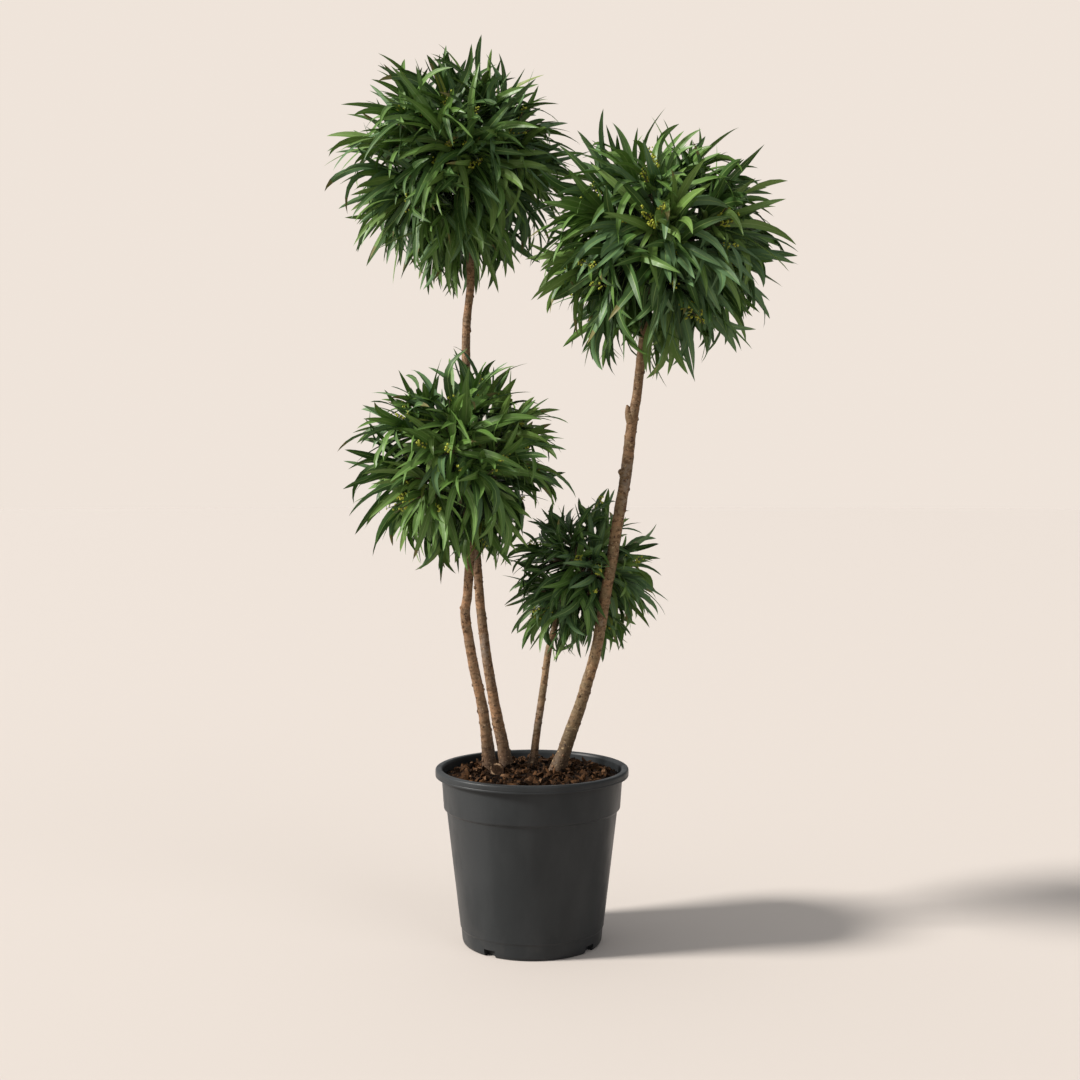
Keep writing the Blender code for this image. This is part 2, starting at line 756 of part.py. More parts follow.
# ------------------------------------------------------------------ the whole plant
def build():
    clear_scene()
    plant = new_collection("pompom_fig")
    cutters = new_collection("cutters", hidden=True)
    base = new_object("plant_base", None, plant)
    build_pot(plant, cutters, base)
    build_soil(plant, base)
    for name in STEMS:
        build_stem(name, plant, base)
    limbs = {name: limb_rings(name) for name in STEMS}
    for name in BALLS:
        build_ball(name, plant, limbs, base)


build()
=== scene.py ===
# %% [markdown]
# # A pompom fig in a nursery pot
# Four clipped balls of long narrow leaves stand on four bare brown stems in one round plastic pot.
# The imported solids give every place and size. Each solid is replaced here by a finer piece: a turned pot,
# loose chippy mix, bark with its rings and pores, and balls of real twigs and leaves.

import math
import random

import bmesh
import bpy
import numpy as np
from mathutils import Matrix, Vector, noise


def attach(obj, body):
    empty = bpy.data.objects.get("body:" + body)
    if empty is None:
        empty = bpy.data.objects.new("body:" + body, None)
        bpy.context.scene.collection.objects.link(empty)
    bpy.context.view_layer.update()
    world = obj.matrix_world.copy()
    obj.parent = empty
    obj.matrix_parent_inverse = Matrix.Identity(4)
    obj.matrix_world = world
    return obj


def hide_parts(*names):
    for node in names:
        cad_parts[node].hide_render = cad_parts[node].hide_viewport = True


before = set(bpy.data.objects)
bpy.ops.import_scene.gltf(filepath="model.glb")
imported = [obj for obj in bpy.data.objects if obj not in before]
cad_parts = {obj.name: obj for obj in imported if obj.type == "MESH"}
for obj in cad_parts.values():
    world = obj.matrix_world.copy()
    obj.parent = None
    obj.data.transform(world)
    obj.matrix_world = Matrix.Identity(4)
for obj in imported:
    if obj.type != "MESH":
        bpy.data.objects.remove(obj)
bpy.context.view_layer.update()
print("nodes:", sorted(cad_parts))

# %% [markdown]
# ## Camera and studio
# The plant is seen from the front, a little above the middle of its height. A pale floor, a soft lamp on the
# left, a weak one on the right and a sky that is brightest on the left show leaf gloss and the round of the
# pot. The camera itself sees an even backdrop behind the plant.

# %% Camera
camera_data = bpy.data.cameras.new("camera")
camera_data.lens = 49.53
camera_data.sensor_width = 36.0
camera = bpy.data.objects.new("camera", camera_data)
camera.location = (0.014, -2.600, 0.815)
camera.rotation_euler = (math.radians(87.64), 0.0, 0.0)  # 90 degrees would look along the floor
bpy.context.scene.collection.objects.link(camera)
bpy.context.scene.camera = camera
print("camera at", tuple(round(value, 3) for value in camera.location))

# %% [markdown]
# ## Helpers
# A mesh comes from lists of points and faces, or from a bmesh, where shapes are cut and joined. A node tree
# is written as calls that each add one node and give one of its outputs, so that a call can stand where the
# next one wants an input.

# %% Small helpers for meshes
UP = np.array([0.0, 0.0, 1.0])
GOLDEN_ANGLE = math.pi * (3.0 - math.sqrt(5.0))


def unit(vectors):
    """The same vectors, each of length one."""
    vectors = np.asarray(vectors, float)
    return vectors / np.maximum(np.linalg.norm(vectors, axis=-1, keepdims=True), 1e-12)


def new_object(name, mesh):
    """Puts a mesh in the scene as an object of that name."""
    obj = bpy.data.objects.new(name, mesh)
    bpy.context.scene.collection.objects.link(obj)
    return obj


def mesh_of(name, points, edges=(), faces=()):
    """A mesh from points with edges or faces."""
    mesh = bpy.data.meshes.new(name)
    mesh.from_pydata([tuple(map(float, p)) for p in points], list(edges), list(faces))
    mesh.update()
    return mesh


def bands(rings):
    """The faces between rings of point numbers. A ring may be one point's number, repeated."""
    faces = []
    for low, high in zip(rings, rings[1:]):
        for i in range(len(low)):
            j = (i + 1) % len(low)
            faces.append(tuple(dict.fromkeys([low[i], low[j], high[j], high[i]])))
    return faces


def mesh_from(name, shape):
    """A mesh from a bmesh, which is freed."""
    mesh = bpy.data.meshes.new(name)
    shape.to_mesh(mesh)
    shape.free()
    return mesh


def faces_out(mesh):
    """The same mesh with all its faces turned outwards."""
    shape = bmesh.new()
    shape.from_mesh(mesh)
    bmesh.ops.recalc_face_normals(shape, faces=shape.faces)
    shape.to_mesh(mesh)
    shape.free()
    return mesh


def evaluated(obj):
    """The object's mesh with its modifiers worked in, as a plain new mesh."""
    graph = bpy.context.evaluated_depsgraph_get()
    graph.update()
    made = bpy.data.meshes.new_from_object(obj.evaluated_get(graph), depsgraph=graph)
    made.name = obj.name
    return made


# %% Small helpers for nodes
def node(tree, kind, values=None, give=0, **settings):
    """Adds a node and gives one of its outputs. A value goes to the input of that name or number."""
    made = tree.nodes.new(kind)
    for key, value in settings.items():
        setattr(made, key, value)
    for key, value in (values or {}).items():
        if isinstance(value, bpy.types.NodeSocket):
            tree.links.new(value, made.inputs[key])
        else:
            made.inputs[key].default_value = value
    return made.outputs[give]


FIRST_VALUES = {float: "Float", int: "Int", tuple: "Vector"}


def node_group(name, kind, inputs, outputs):
    """A node group, what its inputs give, and the sockets at its end.

    A number or a vector is an input's first value, and a word is the kind of thing that it takes.
    """
    tree = bpy.data.node_groups.new(name, kind)
    for label, first in inputs.items():
        word = FIRST_VALUES.get(type(first), first)
        socket = tree.interface.new_socket(name=label, in_out="INPUT", socket_type="NodeSocket" + word)
        if word != first:
            socket.default_value = first
    for label, word in outputs.items():
        tree.interface.new_socket(name=label, in_out="OUTPUT", socket_type="NodeSocket" + word)
    return tree, tree.nodes.new("NodeGroupInput").outputs, tree.nodes.new("NodeGroupOutput").inputs


# %% A plain material
def new_material(name, roughness, specular=0.5):
    """A material and its shader."""
    material = bpy.data.materials.new(name)
    material.use_nodes = True
    shader = material.node_tree.nodes["Principled BSDF"]
    shader.inputs["Roughness"].default_value = roughness
    shader.inputs["Specular IOR Level"].default_value = specular
    return material, shader


# %% Floor, sky and lamps
FLOOR_RADIUS = 40.0
disc = bmesh.new()
bmesh.ops.create_circle(disc, cap_ends=True, segments=96, radius=FLOOR_RADIUS)
floor = new_object("studio_floor", mesh_from("studio_floor", disc))
paint, paint_shader = new_material("floor_paint", 0.9)
paint_shader.inputs["Base Color"].default_value = (0.588, 0.534, 0.494, 1.0)
floor.data.materials.append(paint)

world = bpy.data.worlds.new("studio_sky")
world.use_nodes = True
bpy.context.scene.world = world
bpy.context.scene.view_settings.view_transform = "Standard"
sky_tree = world.node_tree
sky = sky_tree.nodes["Background"]
# The sky is brightest towards the key lamp and falls off evenly to the other side.
look_way = node(sky_tree, "ShaderNodeTexCoord", give="Generated")
towards_key = node(sky_tree, "ShaderNodeVectorMath", {0: look_way, 1: (-0.86, 0.22, 0.46)}, "Value",
                   operation="DOT_PRODUCT")
sky_level = node(sky_tree, "ShaderNodeMapRange", {
    "Value": towards_key, "From Min": -1.0, "From Max": 1.0, "To Min": 0.0, "To Max": 0.70})
sky_tree.links.new(sky_level, sky.inputs["Color"])
# What the camera sees behind the plant is the tone the far floor has, so that no horizon shows.
either = node(sky_tree, "ShaderNodeMixShader", {
    0: node(sky_tree, "ShaderNodeLightPath", give="Is Camera Ray"), 1: sky.outputs["Background"],
    2: node(sky_tree, "ShaderNodeBackground", {"Color": (0.864, 0.777, 0.703, 1.0)})})
sky_tree.links.new(either, sky_tree.nodes["World Output"].inputs["Surface"])


def sun_lamp(name, towards, strength, spread, colour):
    """A far lamp, as strong everywhere, so the floor stays even. towards points from the plant to it."""
    lamp = bpy.data.lights.new(name, "SUN")
    lamp.energy, lamp.angle, lamp.color = strength, math.radians(spread), colour
    holder = bpy.data.objects.new(name, lamp)
    holder.rotation_euler = Vector(towards).to_track_quat("Z", "Y").to_euler()
    bpy.context.scene.collection.objects.link(holder)


sun_lamp("key_lamp", (-0.88, -0.20, 0.55), 5.6, 12.0, (1.0, 0.965, 0.915))
sun_lamp("fill_lamp", (0.60, -0.62, 0.50), 0.50, 40.0, (0.95, 0.97, 1.0))

# %% [markdown]
# ## Effects that several finishes share
# Plastic, bark, mix and leaves all carry uneven patches and a fine grain. Each effect is a small group of
# nodes with its own inputs, so every finish places the same group with values of its own.

# %% Shared shader groups
PATCHES, take, end = node_group("uneven_patches", "ShaderNodeTree", {
    "Vector": "Vector", "Scale": 20.0, "Low": 0.42, "High": 0.62}, {"Mask": "Float"})
cloud = node(PATCHES, "ShaderNodeTexNoise", {
    "Vector": take["Vector"], "Scale": take["Scale"], "Detail": 4.0, "Roughness": 0.55}, "Fac")
mask = node(PATCHES, "ShaderNodeMapRange", {
    "Value": cloud, "From Min": take["Low"], "From Max": take["High"]}, interpolation_type="SMOOTHSTEP")
PATCHES.links.new(mask, end["Mask"])

GRAIN, take, end = node_group("fine_grain", "ShaderNodeTree", {
    "Vector": "Vector", "Scale": 400.0, "Pits": 0.4}, {"Height": "Float"})
speckle = node(GRAIN, "ShaderNodeTexNoise", {
    "Vector": take["Vector"], "Scale": take["Scale"], "Detail": 5.0, "Roughness": 0.6}, "Fac")
pits = node(GRAIN, "ShaderNodeTexVoronoi", {
    "Vector": take["Vector"], "Scale": take["Scale"]}, "Distance", feature="F1")
blend = node(GRAIN, "ShaderNodeMix", {"Factor": take["Pits"], "A": speckle, "B": pits})
GRAIN.links.new(blend, end["Height"])
print("groups:", [g.name for g in bpy.data.node_groups])


# %% A finish and the steps it is put together from
class Finish:
    """A material, and the steps that it is put together from. Patterns lie in the piece's own coordinates."""

    def __init__(self, name, roughness, specular):
        self.material, self.shader = new_material(name, roughness, specular)
        self.tree = self.material.node_tree
        self.coords = node(self.tree, "ShaderNodeTexCoord", give="Object")

    def height(self):
        """The height above the floor."""
        return node(self.tree, "ShaderNodeSeparateXYZ", {"Vector": self.coords}, "Z")

    def pattern(self, group, stretch, values):
        """A shared group, in coordinates that may be stretched along each axis."""
        values["Vector"] = self.coords
        if stretch:
            values["Vector"] = node(self.tree, "ShaderNodeMapping", {"Vector": self.coords, "Scale": stretch})
        return node(self.tree, "ShaderNodeGroup", values, node_tree=group)

    def patches(self, scale, low, high, stretch=None):
        """A mask of uneven patches."""
        return self.pattern(PATCHES, stretch, {"Scale": scale, "Low": low, "High": high})

    def attribute(self, name):
        """A number that the mesh carries."""
        return node(self.tree, "ShaderNodeAttribute", give="Fac", attribute_name=name)

    def product(self, first, second):
        """Two numbers multiplied."""
        return node(self.tree, "ShaderNodeMath", {0: first, 1: second}, operation="MULTIPLY")

    def tinted(self, mask, below, above):
        """A colour that goes from one to another with a mask. Either colour may be a socket."""
        below, above = (c if isinstance(c, bpy.types.NodeSocket) else (*c, 1.0) for c in (below, above))
        return node(self.tree, "ShaderNodeMix", {0: mask, 6: below, 7: above}, 2, data_type="RGBA")

    def layered(self, tone, layers):
        """Takes the base colour from a tone with other colours laid over it, each by its own mask."""
        for mask, colour in layers:
            tone = self.tinted(mask, tone, colour)
        self.colour(tone)

    def ranged(self, value, low, high, to_low, to_high):
        """A number taken from one range to another."""
        return node(self.tree, "ShaderNodeMapRange", {
            "Value": value, "From Min": low, "From Max": high, "To Min": to_low, "To Max": to_high})

    def colour(self, socket):
        """Takes the base colour from a socket."""
        self.tree.links.new(socket, self.shader.inputs["Base Color"])

    def roughness(self, mask, low, high):
        """Takes the roughness from a mask."""
        self.tree.links.new(self.ranged(mask, 0.0, 1.0, low, high), self.shader.inputs["Roughness"])

    def grain(self, scale, pits_share, strength, distance, stretch=None):
        """A bump of fine grain."""
        height = self.pattern(GRAIN, stretch, {"Scale": scale, "Pits": pits_share})
        self.tree.links.new(node(self.tree, "ShaderNodeBump", {
            "Height": height, "Strength": strength, "Distance": distance}), self.shader.inputs["Normal"])


def two_tone(name, shine, patches, dark, light, grain):
    """A plain finish of two colours in patches. shine is its roughness and specular level."""
    finish = Finish(name, *shine)
    finish.colour(finish.tinted(finish.patches(*patches), dark, light))
    finish.grain(*grain)
    return finish.material


def finish_piece(piece, slot, *nodes):
    """A finished piece: it rides on the plant and stands for its solids, which are hidden. slot is not used.
    """
    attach(piece, "root")
    if nodes:
        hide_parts(*nodes)
    triangles = sum(len(face.vertices) - 2 for face in piece.data.polygons)
    print(f"{piece.name}: {triangles} triangles")


# %% [markdown]
# ## The pot
# A nursery pot is moulded in one go: a rolled lip, a straight collar, a small step, a tapered wall with a
# faint ring near the foot, and notches at the foot that let water out. All of that is one outline turned
# round the upright axis, so the outline is drawn, its corners are rounded, and it is spun.

# %% The pot's outline
POT_INNER = [(0.0, 0.0040), (0.1080, 0.0040), (0.1185, 0.0140), (0.1477, 0.2320), (0.1531, 0.2385),
             (0.1574, 0.3040)]
POT_LIP = [(0.1592, 0.3075), (0.1612, 0.3080), (0.1672, 0.3080), (0.1693, 0.3068), (0.1700, 0.3045),
           (0.1700, 0.2990), (0.1692, 0.2981), (0.1698, 0.2971), (0.1698, 0.2946), (0.1677, 0.2946),
           (0.1672, 0.3050), (0.1600, 0.3050)]
POT_OUTER = [(0.1594, 0.2950), (0.1588, 0.2890), (0.1552, 0.2385), (0.1502, 0.2340), (0.1267, 0.0315),
             (0.1268, 0.0304), (0.1262, 0.0290), (0.1249, 0.0265), (0.1232, 0.0065), (0.1218, 0.0020),
             (0.1195, 0.0), (0.0, 0.0)]
POT_SIDES = 160
CORNER_ROUND = 0.0011


def rounded_outline(corners, size, steps=3):
    """The outline with each corner turned into a short curve."""
    made = [corners[0]]
    for before, here, after in zip(corners, corners[1:], corners[2:]):
        p, q, r = (np.array(c) for c in (before, here, after))
        cut = min(size, 0.4 * np.linalg.norm(p - q), 0.4 * np.linalg.norm(r - q))
        a, b = q + unit(p - q) * cut, q + unit(r - q) * cut
        for t in np.linspace(0.0, 1.0, steps + 1):
            made.append(tuple((1 - t) ** 2 * a + 2 * t * (1 - t) * q + t * t * b))
    return made + [corners[-1]]


outline = rounded_outline(POT_INNER + POT_LIP + POT_OUTER, CORNER_ROUND)
print("outline points:", len(outline))


# %% Turn the pot and cut its drain notches
def turned(name, profile, sides):
    """A closed turned body. The profile's first and last points lie on the axis."""
    rings, points = [], []
    for radius, height in profile:
        first = len(points)
        if radius < 1e-6:
            points.append((0.0, 0.0, height))
            rings.append([first] * sides)
            continue
        for turn in (math.tau * i / sides for i in range(sides)):
            points.append((radius * math.cos(turn), radius * math.sin(turn), height))
        rings.append(list(range(first, len(points))))
    return mesh_of(name, points, faces=bands(rings))


SLOT_ANGLES = [-36.0, 54.0, 144.0, 234.0]  # degrees round from the front, with a hole 45 degrees past each
SLOT_WIDTH, SLOT_HEIGHT, SLOT_DEPTH, SLOT_FLOOR_RADIUS = 0.023, 0.0125, 0.03, 0.1115
HOLE_RADIUS, HOLE_CIRCLE = 0.006, 0.070
BELOW = 0.002  # how far the slots' tools reach below the pot
POT_SHARP = 38.0  # an edge that turns by more degrees than this is shaded sharp


def outward_at(degrees):
    """The way out from the pot's axis."""
    return Vector((math.sin(math.radians(degrees)), -math.cos(math.radians(degrees)), 0.0))


pot = new_object("pot_turned", turned("pot_turned", outline, POT_SIDES))
tools = bmesh.new()
for angle in SLOT_ANGLES:
    outward = outward_at(angle)
    side = Vector((-outward.y, outward.x, 0.0))
    for vertex in bmesh.ops.create_cube(tools, size=1.0)["verts"]:
        x, y, z = vertex.co
        vertex.co = (outward * (SLOT_FLOOR_RADIUS + (y + 0.5) * SLOT_DEPTH) + side * x * SLOT_WIDTH
                     + Vector((0.0, 0.0, (z + 0.5) * (SLOT_HEIGHT + BELOW) - BELOW)))
    drill = bmesh.ops.create_cone(tools, cap_ends=True, segments=24, radius1=HOLE_RADIUS,
                                  radius2=HOLE_RADIUS, depth=0.02)
    bmesh.ops.translate(tools, verts=drill["verts"], vec=outward_at(angle + 45.0) * HOLE_CIRCLE)
tool = new_object("drain_tools", faces_out(mesh_from("drain_tools", tools)))
cut = pot.modifiers.new("drain", "BOOLEAN")
cut.operation, cut.solver, cut.object = "DIFFERENCE", "EXACT", tool
pot_mesh = faces_out(evaluated(pot))
pot.modifiers.clear()
pot.data = pot_mesh
bpy.data.objects.remove(tool)
pot_mesh.shade_smooth()
pot_mesh.set_sharp_from_angle(angle=math.radians(POT_SHARP))
print("pot faces:", len(pot_mesh.polygons))

# %% Pot plastic
# Recycled plastic is nearly black, satin, a little cloudy, and dusty where it stands.
plastic = Finish("pot_plastic", 0.42, 0.20)
cloudy = plastic.patches(14.0, 0.35, 0.70, (1.0, 1.0, 0.35))
base = plastic.tinted(cloudy, (0.0195, 0.0218, 0.0232), (0.0280, 0.0305, 0.0322))
near_floor = plastic.ranged(plastic.height(), 0.0, 0.060, 0.30, 0.0)
dust = plastic.product(near_floor, plastic.patches(38.0, 0.45, 0.72))
plastic.colour(plastic.tinted(dust, base, (0.060, 0.057, 0.054)))
plastic.roughness(plastic.patches(30.0, 0.30, 0.75, (1.0, 1.0, 0.5)), 0.36, 0.52)
plastic.grain(900.0, 0.2, 0.10, 0.0004)
pot_mesh.materials.clear()
pot_mesh.materials.append(plastic.material)
finish_piece(pot, "pot_plastic", "pot")

# %% [markdown]
# ## The mix
# The pot holds a coarse, loose mix: bark chips, crumbs and a few curled shavings, just below the rim. A lumpy
# top gives it its level, and the bits are then laid on that top by Geometry Nodes: points are spread over
# the surface, each gets one of a few small shapes, and the instances are made real at the end.

# %% A smooth line through a few points
def spline(points, spacing):
    """Smooth points along a Catmull-Rom curve; the fourth number of each is a radius."""
    held = [points[0]] + list(points) + [points[-1]]
    rings = []
    for a, b, c, d in zip(held, held[1:], held[2:], held[3:]):
        steps = max(1, round(math.dist(b[:3], c[:3]) / spacing))
        for t in (s / steps for s in range(steps)):
            rings.append([
                0.5 * (2 * q + (r - p) * t + (2 * p - 5 * q + 4 * r - w) * t * t
                       + (3 * q - p - 3 * r + w) * t * t * t)
                for p, q, r, w in zip(a, b, c, d)
            ])
    rings.append(list(points[-1]))
    return np.array(rings)


# %% The lumpy top
MIX_EDGE_Z, MIX_CROWN_Z, MIX_EDGE_RADIUS = 0.2915, 0.3003, 0.1563
MIX_FOOT_Z, MIX_FOOT_RADIUS = 0.2450, 0.1530
MIX_RINGS, MIX_SIDES = 44, 144
BANK_WIDTH, CALM_WIDTH = 0.055, 0.02  # how far in from the edge it rises, and how far lumps are calmer

mix_outline = [(0.0, MIX_FOOT_Z), (MIX_FOOT_RADIUS, MIX_FOOT_Z)]
for k in range(MIX_RINGS):
    radius = MIX_EDGE_RADIUS * (1.0 - k / MIX_RINGS)
    slope = min(1.0, (MIX_EDGE_RADIUS - radius) / BANK_WIDTH)
    mix_outline.append((radius, MIX_EDGE_Z + (MIX_CROWN_Z - MIX_EDGE_Z) * slope ** 0.7))
mix_outline.append((0.0, MIX_CROWN_Z))
mix_mesh = turned("mix_top", mix_outline, MIX_SIDES)
for vertex in mix_mesh.vertices:
    if vertex.co.z < MIX_EDGE_Z - 0.001:
        continue
    inner = min(1.0, (MIX_EDGE_RADIUS - vertex.co.xy.length) / CALM_WIDTH)
    lump = noise.noise(vertex.co * 70.0) * 0.0030 + noise.noise(vertex.co * 190.0) * 0.0014
    vertex.co.z += lump * (0.25 + 0.75 * inner)
mix = new_object("mix_top", faces_out(mix_mesh))
mix_mesh.shade_smooth()
print("mix points:", len(mix_mesh.vertices))


# %% Mix finishes
def mix_finish(name, dark, light):
    """Damp bark and peat: uneven, matt and rough, each bit its own brown."""
    finish = Finish(name, 0.92, 0.08)
    bits = finish.patches(95.0, 0.38, 0.66)
    fleck = tuple(c * 1.9 + 0.01 for c in light)
    finish.colour(finish.tinted(finish.patches(260.0, 0.62, 0.78), finish.tinted(bits, dark, light), fleck))
    finish.roughness(bits, 0.78, 0.95)
    finish.grain(420.0, 0.5, 0.6, 0.0012, (1.0, 2.2, 1.0))
    return finish.material


DARK, BROWN, TAN = (
    mix_finish("chip_dark", (0.0065, 0.0032, 0.0017), (0.026, 0.0128, 0.0060)),
    mix_finish("chip_brown", (0.030, 0.0142, 0.0064), (0.084, 0.0400, 0.0172)),
    mix_finish("chip_tan", (0.082, 0.042, 0.021), (0.170, 0.096, 0.051)),
)
mix_mesh.materials.append(mix_finish("damp_peat", (0.0045, 0.0024, 0.0014), (0.018, 0.0088, 0.0042)))
print("mix finishes:", [finish.name for finish in (*mix_mesh.materials, DARK, BROWN, TAN)])


# %% Shapes of single bits
def angular_bit(name, rng, size):
    """A small many-cornered chip: the hull of a few points in a flat box."""
    shape = bmesh.new()
    for _ in range(11):
        shape.verts.new([rng.uniform(-half, half) for half in size])
    bmesh.ops.convex_hull(shape, input=shape.verts)
    bmesh.ops.delete(shape, geom=[v for v in shape.verts if not v.link_faces], context="VERTS")
    return faces_out(mesh_from(name, shape))


def curled_bit(name, rng):
    """A curled shaving: a flat strip that narrows to one end and follows part of a ring."""
    steps, sweep = 9, rng.uniform(2.4, 4.0)
    wide, thick, rise = rng.uniform(0.20, 0.34), 0.045, rng.uniform(-0.25, 0.25)
    points = []
    for t in (k / (steps - 1) for k in range(steps)):
        half = wide * 0.5 * (1.0 - 0.55 * t * t)
        for radius, z in ((0.46, -half), (0.46, half), (0.46 - thick, half), (0.46 - thick, -half)):
            shrink = radius * (1.0 - 0.25 * t)
            points.append((math.cos(sweep * t) * shrink, z + rise * t, math.sin(sweep * t) * shrink))
    rings = [range(4 * k, 4 * k + 4) for k in range(steps)]
    faces = bands(rings) + [(3, 2, 1, 0), tuple(rings[-1])]
    return faces_out(mesh_of(name, points, faces=faces))


def shelf_of(name, meshes):
    """A collection that holds shapes to be laid out, kept out of the scene itself."""
    shelf = bpy.data.collections.new(name)
    for mesh in meshes:
        shelf.objects.link(bpy.data.objects.new(mesh.name, mesh))
    return shelf


rng = random.Random(41)
chips_shelf = shelf_of("chip_shapes", [
    angular_bit(f"chip_{i}", rng, (0.50, rng.uniform(0.20, 0.34), rng.uniform(0.12, 0.22)))
    for i in range(7)])
crumbs_shelf = shelf_of("crumb_shapes", [
    angular_bit(f"crumb_{i}", rng, (0.50, 0.42, 0.34)) for i in range(5)])
curls_shelf = shelf_of("curl_shapes", [curled_bit(f"curl_{i}", rng) for i in range(5)])


# %% Helpers for Geometry Nodes trees
def geometry_tree(name, inputs):
    """A Geometry Nodes tree with a geometry in and out, and named inputs."""
    return node_group(name, "GeometryNodeTree", {"Geometry": "Geometry", **inputs}, {"Geometry": "Geometry"})


def compared(tree, first, second, operation):
    """Whether one number is over or under another."""
    return node(tree, "FunctionNodeCompare", {0: first, 1: second}, data_type="FLOAT", operation=operation)


def both(tree, first, second):
    """Whether two things are true."""
    return node(tree, "FunctionNodeBooleanMath", {0: first, 1: second}, operation="AND")


def size_between(tree, take):
    """A random size for each place, from the tree's inputs Smallest, Largest and Seed."""
    return node(tree, "FunctionNodeRandomValue", {
        2: take["Smallest"], 3: take["Largest"], "Seed": take["Seed"]}, 1, data_type="FLOAT")


def end_tree(tree, geometry, take, end, smooth=False):
    """Makes the instances real, gives them the tree's finish and ends the tree."""
    if smooth:
        geometry = node(tree, "GeometryNodeSetShadeSmooth", {"Geometry": geometry})
    made = node(tree, "GeometryNodeRealizeInstances", {"Geometry": geometry})
    coated = node(tree, "GeometryNodeSetMaterial", {"Geometry": made, "Material": take["Finish"]})
    tree.links.new(coated, end["Geometry"])


# %% Nodes that lay small things on a surface
# Points are spread where the surface is high enough, near enough to the upright axis and off one clearing.
lay_on, take, end = geometry_tree("lay_on_surface", {
    "Shapes": "Collection", "Finish": "Material", "Per Square Metre": 1000.0, "Smallest": 0.004,
    "Largest": 0.010, "Tumble": 1.0, "Lowest": 0.0, "Reach": 10.0, "Clear Of": (0.0, 0.0, -10.0),
    "Clear Radius": 0.0, "Seed": 1})
place = node(lay_on, "GeometryNodeInputPosition")
axis = node(lay_on, "ShaderNodeSeparateXYZ", {0: place}).node.outputs
off_axis = node(lay_on, "ShaderNodeVectorMath", {
    0: node(lay_on, "ShaderNodeCombineXYZ", {0: axis["X"], 1: axis["Y"]})}, "Value", operation="LENGTH")
from_clearing = node(lay_on, "ShaderNodeVectorMath", {
    0: place, 1: take["Clear Of"]}, "Value", operation="DISTANCE")
allowed = both(lay_on, compared(lay_on, axis["Z"], take["Lowest"], "GREATER_THAN"),
               compared(lay_on, off_axis, take["Reach"], "LESS_THAN"))
allowed = both(lay_on, allowed, compared(lay_on, from_clearing, take["Clear Radius"], "GREATER_THAN"))
spots = node(lay_on, "GeometryNodeDistributePointsOnFaces", {
    "Mesh": take["Geometry"], "Selection": allowed, "Density": take["Per Square Metre"],
    "Seed": take["Seed"]}).node.outputs
tilt_most = node(lay_on, "ShaderNodeCombineXYZ", {0: take["Tumble"], 1: take["Tumble"], 2: math.pi})
tilt_least = node(lay_on, "ShaderNodeVectorMath", {0: tilt_most, "Scale": -1.0}, operation="SCALE")
tilt_each = node(lay_on, "FunctionNodeRandomValue", {
    0: tilt_least, 1: tilt_most, "Seed": take["Seed"]}, data_type="FLOAT_VECTOR")
laid = node(lay_on, "GeometryNodeInstanceOnPoints", {
    "Points": spots["Points"], "Pick Instance": True, "Scale": size_between(lay_on, take),
    "Instance": node(lay_on, "GeometryNodeCollectionInfo", {
        "Collection": take["Shapes"], "Separate Children": True, "Reset Children": True}),
    "Rotation": node(lay_on, "FunctionNodeRotateRotation", {
        0: spots["Rotation"], 1: tilt_each}, rotation_space="LOCAL")})
end_tree(lay_on, laid, take, end)
print("laying tree:", len(lay_on.nodes), "nodes")


# %% Run a tree on a mesh, and join meshes
def grown(name, mesh, tree, values):
    """A new mesh: the tree run on this mesh with those inputs, then taken as a plain mesh."""
    carrier = new_object(name, mesh)
    nodes = carrier.modifiers.new("grow", "NODES")
    nodes.node_group = tree
    for socket in tree.interface.items_tree:
        if socket.in_out == "INPUT" and socket.name in values:
            nodes[socket.identifier] = values[socket.name]
    made = evaluated(carrier)
    made.name = name
    bpy.data.objects.remove(carrier)
    return made


def joined(name, meshes):
    """One mesh from several, keeping each one's materials."""
    whole, finishes = bmesh.new(), []
    for mesh in meshes:
        finishes += [finish for finish in mesh.materials if finish not in finishes]
        first = len(whole.faces)
        whole.from_mesh(mesh)
        whole.faces.ensure_lookup_table()
        for face in whole.faces[first:]:
            face.material_index = finishes.index(mesh.materials[face.material_index])
    made = mesh_from(name, whole)
    for finish in finishes:
        made.materials.append(finish)
    return made


# %% Lay chips and crumbs on the mix
# shapes, finish, how many a square metre, smallest, largest, how far they tip, how far out they lie
LAYERS = [
    (crumbs_shelf, DARK, 5200.0, 0.0050, 0.0130, 1.6, 0.1500),
    (crumbs_shelf, BROWN, 3600.0, 0.0040, 0.0120, 1.6, 0.1500),
    (chips_shelf, DARK, 2300.0, 0.0160, 0.0340, 0.95, 0.1380),
    (chips_shelf, BROWN, 2600.0, 0.0140, 0.0350, 1.00, 0.1380),
    (chips_shelf, TAN, 620.0, 0.0080, 0.0220, 1.00, 0.1430),
    (curls_shelf, BROWN, 420.0, 0.0150, 0.0270, 1.30, 0.1400),
    (curls_shelf, TAN, 260.0, 0.0130, 0.0240, 1.30, 0.1400),
]
LAID_FROM = 0.286  # the height from which bits are laid
STUB_CLEARING, STUB_ROOM = (-0.0616, -0.0310, 0.3000), 0.011  # the cut stub's place, kept free of chips
chip_meshes = [
    grown(f"mix_layer_{i}", mix_mesh, lay_on, {
        "Shapes": shelf, "Finish": finish, "Per Square Metre": density, "Smallest": smallest,
        "Largest": largest, "Tumble": tumble, "Lowest": LAID_FROM, "Reach": reach,
        "Clear Of": STUB_CLEARING, "Clear Radius": STUB_ROOM + 0.30 * largest, "Seed": 60 + i})
    for i, (shelf, finish, density, smallest, largest, tumble, reach) in enumerate(LAYERS)]
chips = new_object("mix_chips", joined("mix_chips", chip_meshes))
finish_piece(mix, "soil_mix", "soil")
